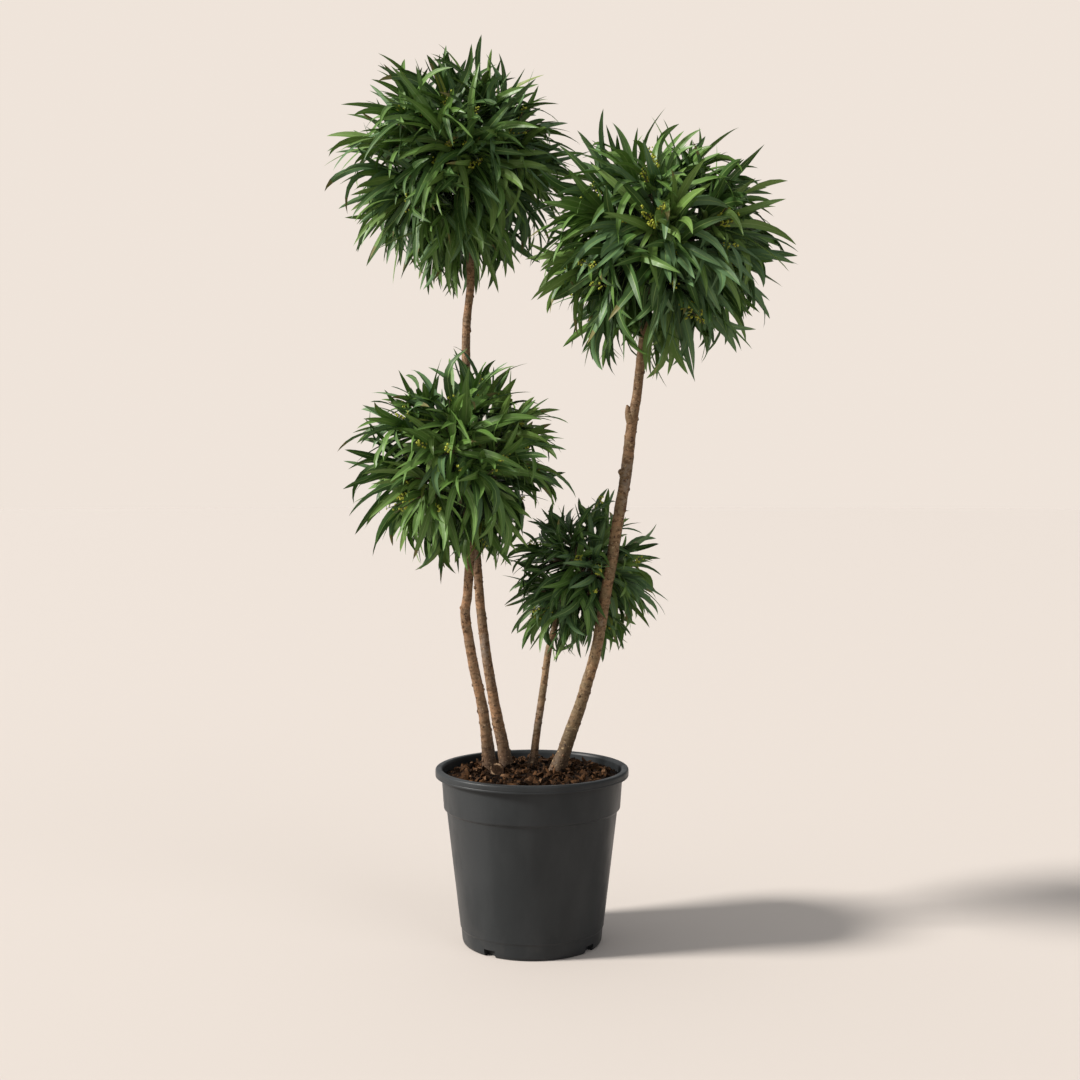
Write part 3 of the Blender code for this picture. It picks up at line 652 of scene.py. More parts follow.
finish_piece(chips, "soil_mix")

# %% [markdown]
# ## The stems
# Each stem is one tapering limb with swollen rings where leaves once sat, pale pores, and knobs where side
# shoots were taken off. The bark's relief is real shape here: a fine tube is swept along the stem's line and
# every point is moved in or out by the rings and by noise. The rings' own places also go into an attribute,
# so that their dark colour falls beside each ring.

# %% Stem lines
STEMS = {
    "stem_front_left": [
        (-0.0748, 0.0180, 0.2993, 0.0128), (-0.0800, 0.0090, 0.3560, 0.0104),
        (-0.0875, 0.0010, 0.4140, 0.0092), (-0.1006, -0.0085, 0.4785, 0.0088),
        (-0.1099, -0.0170, 0.5339, 0.0085), (-0.1160, -0.0239, 0.5790, 0.0086),
        (-0.1118, -0.0292, 0.6140, 0.0083), (-0.1088, -0.0353, 0.6539, 0.0080),
        (-0.1060, -0.0417, 0.6958, 0.0078), (-0.1110, -0.0490, 0.7370, 0.0074)],
    "stem_rear_left": [
        (-0.0455, 0.0450, 0.2993, 0.0122), (-0.0530, 0.0461, 0.3400, 0.0106),
        (-0.0635, 0.0480, 0.3900, 0.0101), (-0.0776, 0.0513, 0.4708, 0.0090),
        (-0.0912, 0.0551, 0.5718, 0.0082), (-0.0975, 0.0580, 0.6481, 0.0079),
        (-0.1030, 0.0605, 0.7400, 0.0078), (-0.1090, 0.0640, 0.8450, 0.0077),
        (-0.1150, 0.0690, 0.9500, 0.0077), (-0.1188, 0.0770, 1.0375, 0.0076),
        (-0.1172, 0.0825, 1.1005, 0.0074), (-0.1110, 0.0885, 1.1620, 0.0070),
        (-0.1130, 0.0945, 1.2200, 0.0067), (-0.1180, 0.0980, 1.2480, 0.0065)],
    "stem_short": [
        (0.0010, 0.0575, 0.2993, 0.0082), (0.0058, 0.0594, 0.3385, 0.0071),
        (0.0128, 0.0615, 0.3900, 0.0067), (0.0219, 0.0640, 0.4521, 0.0063),
        (0.0290, 0.0660, 0.5035, 0.0061), (0.0390, 0.0677, 0.5430, 0.0059),
        (0.0490, 0.0690, 0.5720, 0.0056)],
    "stem_right": [
        (0.0440, 0.0000, 0.2993, 0.0152), (0.0560, -0.0024, 0.3340, 0.0125),
        (0.0716, -0.0052, 0.3805, 0.0115), (0.0857, -0.0081, 0.4216, 0.0106),
        (0.0975, -0.0109, 0.4623, 0.0102), (0.1094, -0.0137, 0.5031, 0.0099),
        (0.1205, -0.0180, 0.5640, 0.0098), (0.1288, -0.0218, 0.6202, 0.0097),
        (0.1379, -0.0251, 0.6675, 0.0097), (0.1442, -0.0283, 0.7147, 0.0097),
        (0.1538, -0.0322, 0.7711, 0.0098), (0.1627, -0.0361, 0.8272, 0.0100),
        (0.1709, -0.0413, 0.9018, 0.0093), (0.1804, -0.0485, 0.9620, 0.0080),
        (0.1861, -0.0560, 1.0220, 0.0077), (0.1920, -0.0640, 1.0770, 0.0072),
        (0.1945, -0.0670, 1.0920, 0.0070)],
}
CUT_STUB = [(-0.0616, -0.0170, 0.2953, 0.0126), (-0.0616, -0.0210, 0.3010, 0.0124),
            (-0.0616, -0.0265, 0.3060, 0.0122), (-0.0616, -0.0320, 0.3092, 0.0120)]
# stem, height, compass (0 right, 90 back), length, radius, rise along the stem, whether its end is snapped
KNOBS = [
    ("stem_right", 0.908, 186.0, 0.0340, 0.0062, 2.40, True),
    ("stem_right", 0.882, 200.0, 0.0125, 0.0036, 0.75, False),
    ("stem_right", 0.868, 335.0, 0.0125, 0.0034, 0.75, False),
    ("stem_right", 0.820, 192.0, 0.0160, 0.0048, 0.75, False),
    ("stem_right", 0.520, 20.0, 0.0125, 0.0036, 0.75, False),
    ("stem_rear_left", 1.075, 350.0, 0.0105, 0.0032, 0.75, False),
    ("stem_rear_left", 1.020, 185.0, 0.0100, 0.0030, 0.75, False),
    ("stem_rear_left", 0.560, 10.0, 0.0110, 0.0032, 0.75, False),
    ("stem_front_left", 0.585, 185.0, 0.0115, 0.0036, 0.75, False),
    ("stem_front_left", 0.440, 10.0, 0.0115, 0.0032, 0.75, False),
    ("stem_short", 0.470, 180.0, 0.0085, 0.0026, 0.75, False),
]
RING_STEP, BARK_SIDES, KNOB_SIDES, BARK_SHARP = 0.0022, 36, 16, 60.0  # the last one in degrees
FLARE_HEIGHT, FLARE_SPREAD, FLARE_LOBES = 0.009, 0.16, 4  # the spread is a share of the foot's radius
print("stems:", list(STEMS), "with", len(KNOBS), "knobs")


# %% Bark finish
ACROSS = (1.0, 1.0, 1.5)  # patterns that lie across a stem


def bark_finish(name, warm, dull, mossy_to, shaded_from=2.0):
    """Thin brown bark in warm and dull patches with dark rings and specks.

    It is dull up to the height mossy_to, and a little darker from the height shaded_from, as painted shade
    under the ball that the stem carries.
    """
    finish = Finish(name, 0.78, 0.35)
    height, streaks = finish.height(), finish.patches(120.0, 0.46, 0.64, ACROSS)
    finish.layered(finish.tinted(finish.patches(34.0, 0.36, 0.62, ACROSS), warm, dull), [
        (finish.patches(21.0, 0.54, 0.72, (1.0, 1.0, 0.6)), tuple((c + 0.12) * 0.60 for c in dull)),
        (streaks, tuple(c * 0.40 for c in warm)),
        (finish.ranged(height, mossy_to - 0.10, mossy_to, 0.58, 0.0), (0.084, 0.060, 0.029)),
        (finish.ranged(height, 0.300, 0.385, 0.80, 0.0), (0.058, 0.031, 0.018)),  # painted shade at the foot
        # painted shade from the height shaded_from up, under the ball that the stem carries
        (finish.ranged(height, shaded_from, shaded_from + 0.16, 0.0, 0.45), (0.118, 0.064, 0.032)),
        (finish.patches(170.0, 0.60, 0.69, ACROSS), tuple(c * 1.8 + 0.03 for c in dull)),
        (finish.patches(230.0, 0.60, 0.69), (0.030, 0.016, 0.010)),
        (finish.attribute("scar"), (0.040, 0.020, 0.012)),
    ])
    finish.roughness(streaks, 0.66, 0.92)
    finish.grain(420.0, 0.45, 0.8, 0.0014, ACROSS)
    return finish.material


BARKS = {
    "stem_front_left": bark_finish("bark_front_left", (0.262, 0.140, 0.066), (0.175, 0.110, 0.058), 0.36),
    "stem_rear_left": bark_finish("bark_rear_left", (0.267, 0.144, 0.069), (0.179, 0.112, 0.060), 0.34),
    "stem_short": bark_finish("bark_short", (0.275, 0.158, 0.077), (0.195, 0.132, 0.070), 0.36),
    "stem_right": bark_finish("bark_right", (0.245, 0.140, 0.066), (0.177, 0.120, 0.059), 0.47, 0.76),
    "cut_stub": bark_finish("bark_stub", (0.150, 0.080, 0.042), (0.095, 0.052, 0.030), 0.0),
}

cut_face = Finish("sawn_wood", 0.90, 0.05)
from_pith = cut_face.attribute("from_pith")
# The outermost wood is pale only on the upper left side of the cut, the side that faces the key lamp: pale
# wood with a painted highlight.
upper_left = node(cut_face.tree, "ShaderNodeVectorMath", {0: cut_face.coords, 1: (-0.8, 0.0, 0.6)}, "Value",
                  operation="DOT_PRODUCT")
pale_rim_and_highlight = cut_face.product(cut_face.ranged(from_pith, 0.66, 0.76, 0.0, 1.0),
                            cut_face.ranged(upper_left, 0.2285, 0.2350, 0.0, 1.0))
heartwood = cut_face.ranged(from_pith, 0.10, 0.60, 0.0, 1.0)
cut_face.layered(cut_face.tinted(heartwood, (0.014, 0.008, 0.004), (0.032, 0.018, 0.010)), [
    (pale_rim_and_highlight, (0.330, 0.220, 0.135)),
    (cut_face.ranged(from_pith, 0.90, 0.97, 0.0, 1.0), (0.085, 0.046, 0.028)),
    (cut_face.patches(60.0, 0.50, 0.64, (3.0, 1.0, 1.0)), (0.018, 0.010, 0.006)),
    (cut_face.patches(300.0, 0.45, 0.70), (0.046, 0.025, 0.015)),
])
cut_face.grain(800.0, 0.5, 0.7, 0.0008)
print("barks:", list(BARKS))


# %% Sweep a limb, and close its ends
def swept(rings, sides, relief, level_rings):
    """Points of a limb, ring by ring, the foot level; relief gives each ring's radii."""
    centres = rings[:, :3]
    ahead = unit(np.gradient(centres, axis=0))
    share = np.minimum(1.0, np.arange(len(rings)) / max(level_rings, 1))[:, None]
    along = unit(UP * (1.0 - share) + ahead * share) if level_rings else ahead
    across = np.empty_like(centres)
    carried = np.array([1.0, 0.0, 0.0])  # carried along without a twist
    for k, direction in enumerate(along):
        carried = unit(carried - direction * carried.dot(direction))
        across[k] = carried
    side = np.cross(along, across)
    turns = np.arange(sides) / sides * math.tau
    spokes = across[:, None] * np.cos(turns)[None, :, None] + side[:, None] * np.sin(turns)[None, :, None]
    return centres[:, None] + spokes * relief(turns)[:, :, None], along


class Limb:
    """The points and faces of a limb while it is put together.

    kinds tells bark (0) from wood (1) face by face. pith is 1 on the bark and falls to 0 inside an end.
    """

    def __init__(self):
        self.points, self.pith, self.faces, self.kinds = [], [], [], []

    def ring(self, points, pith):
        """Adds a ring of points and gives their numbers."""
        first = len(self.points)
        self.points += list(points)
        self.pith += [pith] * len(points)
        return list(range(first, len(self.points)))

    def band(self, rings, kind=0):
        """Adds the faces between rings."""
        made = bands(rings)
        self.faces += made
        self.kinds += [kind] * len(made)

    def tube(self, rings_of_points):
        """Adds a tube and gives its rings."""
        rings = [self.ring(points, 1.0) for points in rings_of_points]
        self.band(rings)
        return rings

    def close(self, ring, middle, steps, kind):
        """Closes a ring with smaller and smaller rings towards its middle."""
        outer = np.array([self.points[i] for i in ring])
        rings = [ring]
        for share in (step / steps for step in range(1, steps)):
            rings.append(self.ring(outer + (middle - outer) * share, 1.0 - share))
        rings.append(self.ring([middle], 0.0) * len(ring))
        self.band(rings, kind)


# %% Relief of the bark
SCAR_GAP, SCAR_HEIGHT, SCAR_WIDTH = (0.006, 0.034), (0.00020, 0.00120), (0.0008, 0.0020)


def bark_relief(rings, rng, flare):
    """A function for the radii round and along a stem, with leaf rings, lumps and root flare.

    It comes with a store that the function fills with the marks for the bark's colour.
    """
    length_at = np.concatenate([[0.0], np.cumsum(np.linalg.norm(np.diff(rings[:, :3], axis=0), axis=1))])
    scars, s = [], rng.uniform(0.008, 0.016)
    while s < length_at[-1]:
        scars.append((s, rng.uniform(*SCAR_HEIGHT) * rng.random(), rng.uniform(*SCAR_WIDTH),
                      rng.uniform(0, math.tau), rng.uniform(0.45, 1.0)))
        s += rng.uniform(*SCAR_GAP)
    marks = {}

    def radii(turns):
        ridge, mark = np.zeros((len(rings), len(turns))), np.zeros((len(rings), len(turns)))
        for s, height, width, phase, one_side in scars:
            wander = s + 0.0018 * np.sin(turns + phase) + 0.0007 * np.sin(3 * turns - phase)
            strength = 1.0 - one_side * (0.5 - 0.5 * np.cos(turns - phase))
            off = length_at[:, None] - wander[None, :]
            ridge += height * strength * np.exp(-(off / width) ** 2)
            mark += strength * np.exp(-((off + 1.3 * width) / (0.7 * width)) ** 2) * min(1.0, height / 0.0005)
        rough = np.empty_like(ridge)
        for k, (x, y, z, radius) in enumerate(rings):
            for i, turn in enumerate(turns):
                spot = Vector((x + radius * math.cos(turn), y + radius * math.sin(turn), z))
                rough[k, i] = (0.065 * noise.noise(spot * 38.0) + 0.050 * noise.noise(spot * 110.0)
                               + 0.036 * noise.noise(Vector((spot.x, spot.y, spot.z * 1.8)) * 300.0)) * radius
        swell = flare * FLARE_SPREAD * rings[0, 3] * np.exp(-length_at / FLARE_HEIGHT)
        lobe = 0.62 + 0.38 * np.cos(FLARE_LOBES * turns + 0.6)
        marks["scar"] = np.clip(mark * 0.75, 0.0, 0.9)
        return rings[:, 3][:, None] + ridge + rough + swell[:, None] * lobe[None, :]
    return radii, marks


# %% Build the stems and the stub
def add_knob(limb, rings, height, compass, length, radius, rise, snapped):
    """Adds a short stump of a side shoot: a small tapering tube with a rounded or snapped end."""
    k = int(np.argmin(np.abs(rings[:, 2] - height)))
    along = unit(rings[min(k + 3, len(rings) - 1), :3] - rings[k - 3, :3])
    outward = np.array([math.cos(math.radians(compass)), math.sin(math.radians(compass)), 0.0])
    lean = unit(outward + along * rise)
    reaches = [0.10, 0.40, 0.65, 0.86, 1.0] if snapped else [0.35, 0.62, 0.80, 0.93, 1.0]
    widths = [1.50, 1.45, 1.12, 0.68, 0.20] if snapped else [1.65, 1.20, 1.00, 0.78, 0.34]
    path = np.array([[*(rings[k, :3] + lean * length * t), radius * w] for t, w in zip(reaches, widths)])
    made, _ = swept(
        path, KNOB_SIDES, lambda turns: path[:, 3][:, None] * (1.0 + 0.05 * np.sin(3 * turns + k)), 0)
    limb.close(limb.tube(made)[-1], path[-1, :3] + lean * 0.0004, 3, int(snapped))


def barked_limb(name, line, seed, flare, level_rings, sawn):
    """A finished stem or stub. Its foot is level, and sawn says whether wood shows at its top."""
    rings = spline(line, RING_STEP)
    radii, marks = bark_relief(rings, random.Random(seed), flare)
    made, along = swept(rings, BARK_SIDES, radii, level_rings)
    limb = Limb()
    foot, *_, top = limb.tube(made)
    limb.close(foot[::-1], rings[0, :3], 2, 0)
    limb.close(top, rings[-1, :3] + along[-1] * 0.0002, 7, int(sawn))
    for stem, *knob in KNOBS:
        if stem == name:
            add_knob(limb, rings, *knob)
    mesh = mesh_of(name + "_bark", limb.points, faces=limb.faces)
    mesh.materials.append(BARKS[name])
    mesh.materials.append(cut_face.material)
    mesh.polygons.foreach_set("material_index", limb.kinds)
    scar = np.zeros(len(limb.points))
    scar[:marks["scar"].size] = marks["scar"].ravel()
    for label, values in (("scar", scar), ("from_pith", limb.pith)):
        carried = mesh.attributes.new(label, "FLOAT", "POINT")
        carried.data.foreach_set("value", np.array(values, np.float32))
    mesh.shade_smooth()
    mesh.set_sharp_from_angle(angle=math.radians(BARK_SHARP))
    return mesh


bark_meshes = {
    name: barked_limb(name, line, seed=300 + i, flare=1.0, level_rings=9, sawn=False)
    for i, (name, line) in enumerate(STEMS.items())}
bark_meshes["cut_stub"] = barked_limb("cut_stub", CUT_STUB, seed=310, flare=0.0, level_rings=2, sawn=True)
print("bark points:", {name: len(mesh.vertices) for name, mesh in bark_meshes.items()})

# %% Pores on the bark
pore = bmesh.new()
bmesh.ops.create_icosphere(pore, subdivisions=1, radius=0.5)
for vertex in pore.verts:
    vertex.co.z *= 0.42
pore_mesh = mesh_from("pore", pore)
pore_mesh.shade_smooth()
pore_shelf = shelf_of("pore_shapes", [pore_mesh])


def pore_finish(name, dark, light):
    """A pore's or a scar's own two browns."""
    return two_tone(name, (0.85, 0.30), (350.0, 0.4, 0.6), dark, light, (1500.0, 0.5, 0.4, 0.0003))


PALE = pore_finish("pore_pale", (0.250, 0.170, 0.105), (0.420, 0.320, 0.230))
SUNK = pore_finish("pore_dark", (0.048, 0.024, 0.014), (0.090, 0.048, 0.028))
SCAR = pore_finish("bud_scar", (0.062, 0.032, 0.017), (0.155, 0.088, 0.046))
PORES_FROM, PORE_REACH, PORE_TUMBLE = 0.303, 10.0, 0.15  # from above the mix, and on the whole stem
# label, finish, how many a square metre, smallest, largest
PORES = [
    ("_pale_pores", PALE, 1700.0, 0.0007, 0.0034),
    ("_dark_pores", SUNK, 3000.0, 0.0007, 0.0040),
    ("_bud_scars", SCAR, 850.0, 0.0048, 0.0088),
]
for number, (name, mesh) in enumerate(bark_meshes.items()):
    parts = [mesh] + [
        grown(name + label, mesh, lay_on, {
            "Shapes": pore_shelf, "Finish": finish, "Per Square Metre": density, "Smallest": smallest,
            "Largest": largest, "Tumble": PORE_TUMBLE, "Lowest": PORES_FROM, "Reach": PORE_REACH,
            "Seed": 80 + number})
        for label, finish, density, smallest, largest in PORES if name != "cut_stub"]
    finish_piece(new_object(name + "_bark", joined(name + "_barked", parts)), "bark", name)

# %% [markdown]
# ## The balls of leaves
# Each ball is a head of twigs that all start where its stem ends. Boughs run out evenly from the middle, each
# forks into a few fine twigs, and each fine twig carries long narrow leaves set round it by the golden angle,
# so that no leaf shades the next. A leaf starts out along its twig's side and then bends down under its own
# weight. It is kept only if it stays inside the clipped outline, in its own ball's space and off every stem.

# %% The heads and the rule they share
# reach is how far the clipped outline lies from the centre, heart how far the boughs run, and front the way
# that the first bough points. twigs is the number of boughs and leaves that of the leaves on each; spikes is
# the most leafless shoots on a bough's middle twig. wide is a blade's half width, combed says how strongly
# the leaves of an outer twig lead away from their bough, and stray how far each leaf goes its own way.
BALLS = {
    "ball_top_left": {
        "stem": "stem_rear_left", "centre": (-0.1395, 0.1100, 1.3790), "reach": 0.243, "heart": 0.100,
        "front": (-0.04, -0.99, 0.14), "twigs": 16, "leaves": 68, "spikes": 3, "wide": 0.0070,
        "combed": 0.80, "stray": 0.34, "seed": 11},
    "ball_top_right": {
        "stem": "stem_right", "centre": (0.2110, -0.0900, 1.2080), "reach": 0.236, "heart": 0.100,
        "front": (-0.20, -0.96, 0.17), "twigs": 16, "leaves": 60, "spikes": 6, "wide": 0.0080,
        "combed": 1.15, "stray": 0.16, "seed": 23},
    "ball_middle_left": {
        "stem": "stem_front_left", "centre": (-0.1297, -0.0550, 0.8416), "reach": 0.212, "heart": 0.086,
        "front": (0.10, -0.98, 0.16), "twigs": 14, "leaves": 52, "spikes": 4, "wide": 0.0078,
        "combed": 1.00, "stray": 0.24, "seed": 37},
    "ball_low_right": {
        "stem": "stem_short", "centre": (0.0880, 0.0700, 0.6430), "reach": 0.172, "heart": 0.062,
        "front": (-0.16, -0.92, 0.36), "twigs": 11, "leaves": 44, "spikes": 2, "wide": 0.0066,
        "combed": 0.95, "stray": 0.26, "seed": 53},
}
FORKS = 4  # fine twigs on each bough
LEAF_TRIES = 4
LEAF_SHORTEST, LEAF_LONGEST = 0.058, 0.74  # in metres, and as a share of the ball's reach
LEAF_SLIM = 0.052  # half width as a share of length, so that short leaves stay slim
SPACE_CLEARANCE, LIMB_CLEARANCE = 0.0015, 0.0025  # a leaf's, from a neighbour's space and from a stem
LEAN_YOUNG, LEAN_OLD = math.radians(14.0), math.radians(80.0)  # a leaf's lean from its twig
LEAF_BEND, LEAF_DROOP = (0.25, 1.05), (1.05, 2.10)  # how far a leaf turns from foot to tip, in radians
DROOPING_SHARE = 0.28
TIP_SHORT, TIP_LONG, LONG_SHARE = (0.60, 0.92), (0.92, 1.05), 0.28  # how far out the tips come
HUB_OPEN = 0.45  # the middle twig of a bough has no upright leaves, so its buds show
LEAFY_SHARE = 0.70  # leaves that a twig has to keep to bear buds
BUD_CLEARANCE = 0.034  # from the cut to a neighbour, where no leaf would cover them
LEAF_SWAY = 0.26  # how far a leaf snakes to its sides, in radians
BOUGH_RADII, TWIG_RADII, SPIKE_RADII = (0.0040, 0.0027), (0.0024, 0.0013), (0.0011, 0.0006)
SPIKE_LENGTH, SPIKE_REACH = (0.022, 0.060), 0.86  # a spike is a short leafless shoot that bears buds
TWIG_CLEARANCE = 0.003
FORK_AT, FAN, TWIG_REACH = (0.62, 0.80), (0.50, 0.85), (0.42, 0.56)  # shares of heart, tuft angle and reach
BOW = 0.006  # how far a bough bows to one side
TONE_SHARES = (0.32, 0.32, 0.23, 0.13)  # deep, green, bluish and fresh
YELLOWING, OLD_SHADED = 4, 5  # the two tones after those four
SPRAY_TONE_SHARE, YELLOWING_SHARE, WITHERED_SHARE = 0.75, 0.004, 0.05
INNER_SHARE = 5  # one leaf deep inside a bough's head to this many outer ones
LEAF_AT = np.array([0.0, 0.06, 0.14, 0.24, 0.35, 0.47, 0.59, 0.71, 0.82, 0.92, 1.0])
LEAF_WIDTH_AT = np.array([0.18, 0.28, 0.62, 0.88, 0.99, 1.0, 0.94, 0.80, 0.59, 0.33, 0.0])

stem_lines = {name: spline(line, 0.02) for name, line in STEMS.items()}
limb_from = np.concatenate([line[:-1] for line in stem_lines.values()])
limb_to = np.concatenate([line[1:] for line in stem_lines.values()])
print("stem pieces to keep clear of:", len(limb_from))


# %% The limits that every leaf keeps to
def off_limbs(points, margin):
    """Whether every point stays the margin clear of every stem's bark."""
    span = limb_to[:, :3] - limb_from[:, :3]
    offset = points[:, None] - limb_from[None, :, :3]
    t = np.clip((offset * span).sum(-1) / (span * span).sum(-1), 0.0, 1.0)
    gap = np.linalg.norm(offset - span * t[..., None], axis=-1) - limb_from[None, :, 3]
    return bool((gap > margin).all())


def in_own_space(points, name, margin):
    """Whether every point stays in the ball's round reach, and on its side of the cut to each neighbour."""
    own = BALLS[name]
    centre = np.array(own["centre"])
    if (np.linalg.norm(points - centre, axis=1) > own["reach"] * TIP_LONG[1]).any():
        return False
    own_power = ((points - centre) ** 2).sum(1) - own["reach"] ** 2
    for other_name, other in BALLS.items():
        if other_name == name:
            continue
        there = np.array(other["centre"])
        other_power = ((points - there) ** 2).sum(1) - other["reach"] ** 2
        if ((other_power - own_power) / (2.0 * np.linalg.norm(there - centre)) < margin).any():
            return False
    return True


# %% Ways to point
def any_way(rng):
    """A random vector, with each of its three numbers between -1 and 1."""
    return np.array([rng.uniform(-1, 1) for _ in range(3)])


def even_directions(count, front, rng):
    """Directions spread evenly over a whole ball from the one given, each a little off its place."""
    front = unit(np.array(front))
    across, side = across_of(front)
    directions = []
    for i in range(count):
        height = 1.0 - 2.0 * i / (count - 1)
        ring = math.sqrt(max(0.0, 1.0 - height * height))
        turn = GOLDEN_ANGLE * i + rng.uniform(-0.18, 0.18)
        jitter = any_way(rng) * 0.08
        spread = across * (ring * math.cos(turn)) + side * (ring * math.sin(turn))
        directions.append(unit(spread + front * height + jitter))
    return directions


def across_of(direction):
    """Two directions square to this one and to each other."""
    guide = UP if abs(direction[2]) < 0.9 else np.array([1.0, 0.0, 0.0])
    across = unit(np.cross(direction, guide))
    return across, np.cross(direction, across)


def leaned(direction, off, turn):
    """A direction leaned off another by one angle, turned round it by a second."""
    across, side = across_of(direction)
    around = across * math.cos(turn) + side * math.sin(turn)
    return unit(direction * math.cos(off) + around * math.sin(off))


# %% One arching leaf
def arching_leaf(ball, root, way, turn, from_hub, age, rng):
    """The midrib of one leaf, the way its width runs at each point, and its half width.

    way is the twig's direction, turn the leaf's place round it, from_hub the way that leads off its bough,
    and age goes from 0 at the tip to 1 for the oldest.
    """
    outward = unit(root - np.array(ball["centre"]))
    aside = unit(leaned(way, math.pi / 2.0, turn) + from_hub * ball["combed"])
    stray = any_way(rng)
    lean = LEAN_YOUNG + (LEAN_OLD - LEAN_YOUNG) * age + rng.gauss(0.0, 0.20)
    start = unit(way * math.cos(lean) + aside * math.sin(lean) + stray * ball["stray"] + outward * 0.30)
    start = unit(start + outward * max(0.0, 0.12 - start.dot(outward)))
    # It bends towards the ground and to its own side, least where it already hangs.
    pull = aside * 0.45 + stray * 0.65 - UP
    pull = pull - start * pull.dot(start)
    most = rng.uniform(*(LEAF_DROOP if rng.random() < DROOPING_SHARE else LEAF_BEND))
    bend = most * min(1.0, 0.35 + 0.65 * np.linalg.norm(pull)) * LEAF_AT ** 1.35
    pull = unit(pull)
    sway = rng.gauss(0.0, LEAF_SWAY) * np.sin(1.6 * math.pi * LEAF_AT)
    bent = unit(start * np.cos(bend)[:, None] + pull * np.sin(bend)[:, None]
                + np.cross(start, pull) * sway[:, None])
    middles = unit((bent[1:] + bent[:-1]) / 2.0)
    shape = np.vstack([np.zeros(3), np.cumsum(middles * np.diff(LEAF_AT)[:, None], axis=0)])
    # The leaf is as long as it takes to reach the clipped outline, within life's range.
    target = ball["reach"] * rng.uniform(*(TIP_LONG if rng.random() < LONG_SHARE else TIP_SHORT))
    offset, tip = root - np.array(ball["centre"]), shape[-1]
    a, b, c = tip.dot(tip), offset.dot(tip), offset.dot(offset) - target ** 2
    length = (-b + math.sqrt(max(0.0, b * b - a * c))) / a
    length = min(max(length, LEAF_SHORTEST), LEAF_LONGEST * ball["reach"] * rng.uniform(0.70, 1.0))
    line = root + shape * length
    facing = unit(way * math.sin(lean) - aside * math.cos(lean) + UP * 0.45 + outward * 0.45)
    width_way = unit(np.cross(np.broadcast_to(facing, bent.shape), bent))
    roll = rng.uniform(-0.40, 0.40) + rng.uniform(-0.9, 0.9) * LEAF_AT
    width_way = (width_way * np.cos(roll)[:, None] + np.cross(bent, width_way) * np.sin(roll)[:, None])
    half = min(ball["wide"], LEAF_SLIM * length + 0.0014) * rng.uniform(0.74, 1.09)
    return line, width_way, half


# %% Lines, tones and a leaf's place
def curved(start, end, bow, count=6):
    """A line from start to end, bowed to one side."""
    t = np.linspace(0.0, 1.0, count)[:, None]
    return start + (end - start) * t + bow * np.sin(math.pi * t)


def with_radii(line, radii):
    """The line with a radius at each point, from its foot to its end."""
    return np.column_stack([line, np.linspace(*radii, len(line))])


def point_along(line, share):
    """The point at a share of the way along a line."""
    spot = share * (len(line) - 1)
    low = min(int(spot), len(line) - 2)
    return line[low] + (line[low + 1] - line[low]) * (spot - low)


def leaf_stays(points, name, half):
    """Whether a leaf keeps inside its ball's own space and clear of every stem."""
    return in_own_space(points, name, half * 0.5 + SPACE_CLEARANCE) and off_limbs(
        points, half * 0.8 + LIMB_CLEARANCE)


def some_tone(rng):
    """The tone of a whole spray."""
    return rng.choices(range(4), TONE_SHARES)[0]


def dealt_tone(tone, rng):
    """The leaf's own tone, mostly that of its spray, and whether its tip has withered."""
    own = tone if rng.random() < SPRAY_TONE_SHARE else some_tone(rng)
    return (YELLOWING if rng.random() < YELLOWING_SHARE else own), rng.random() < WITHERED_SHARE


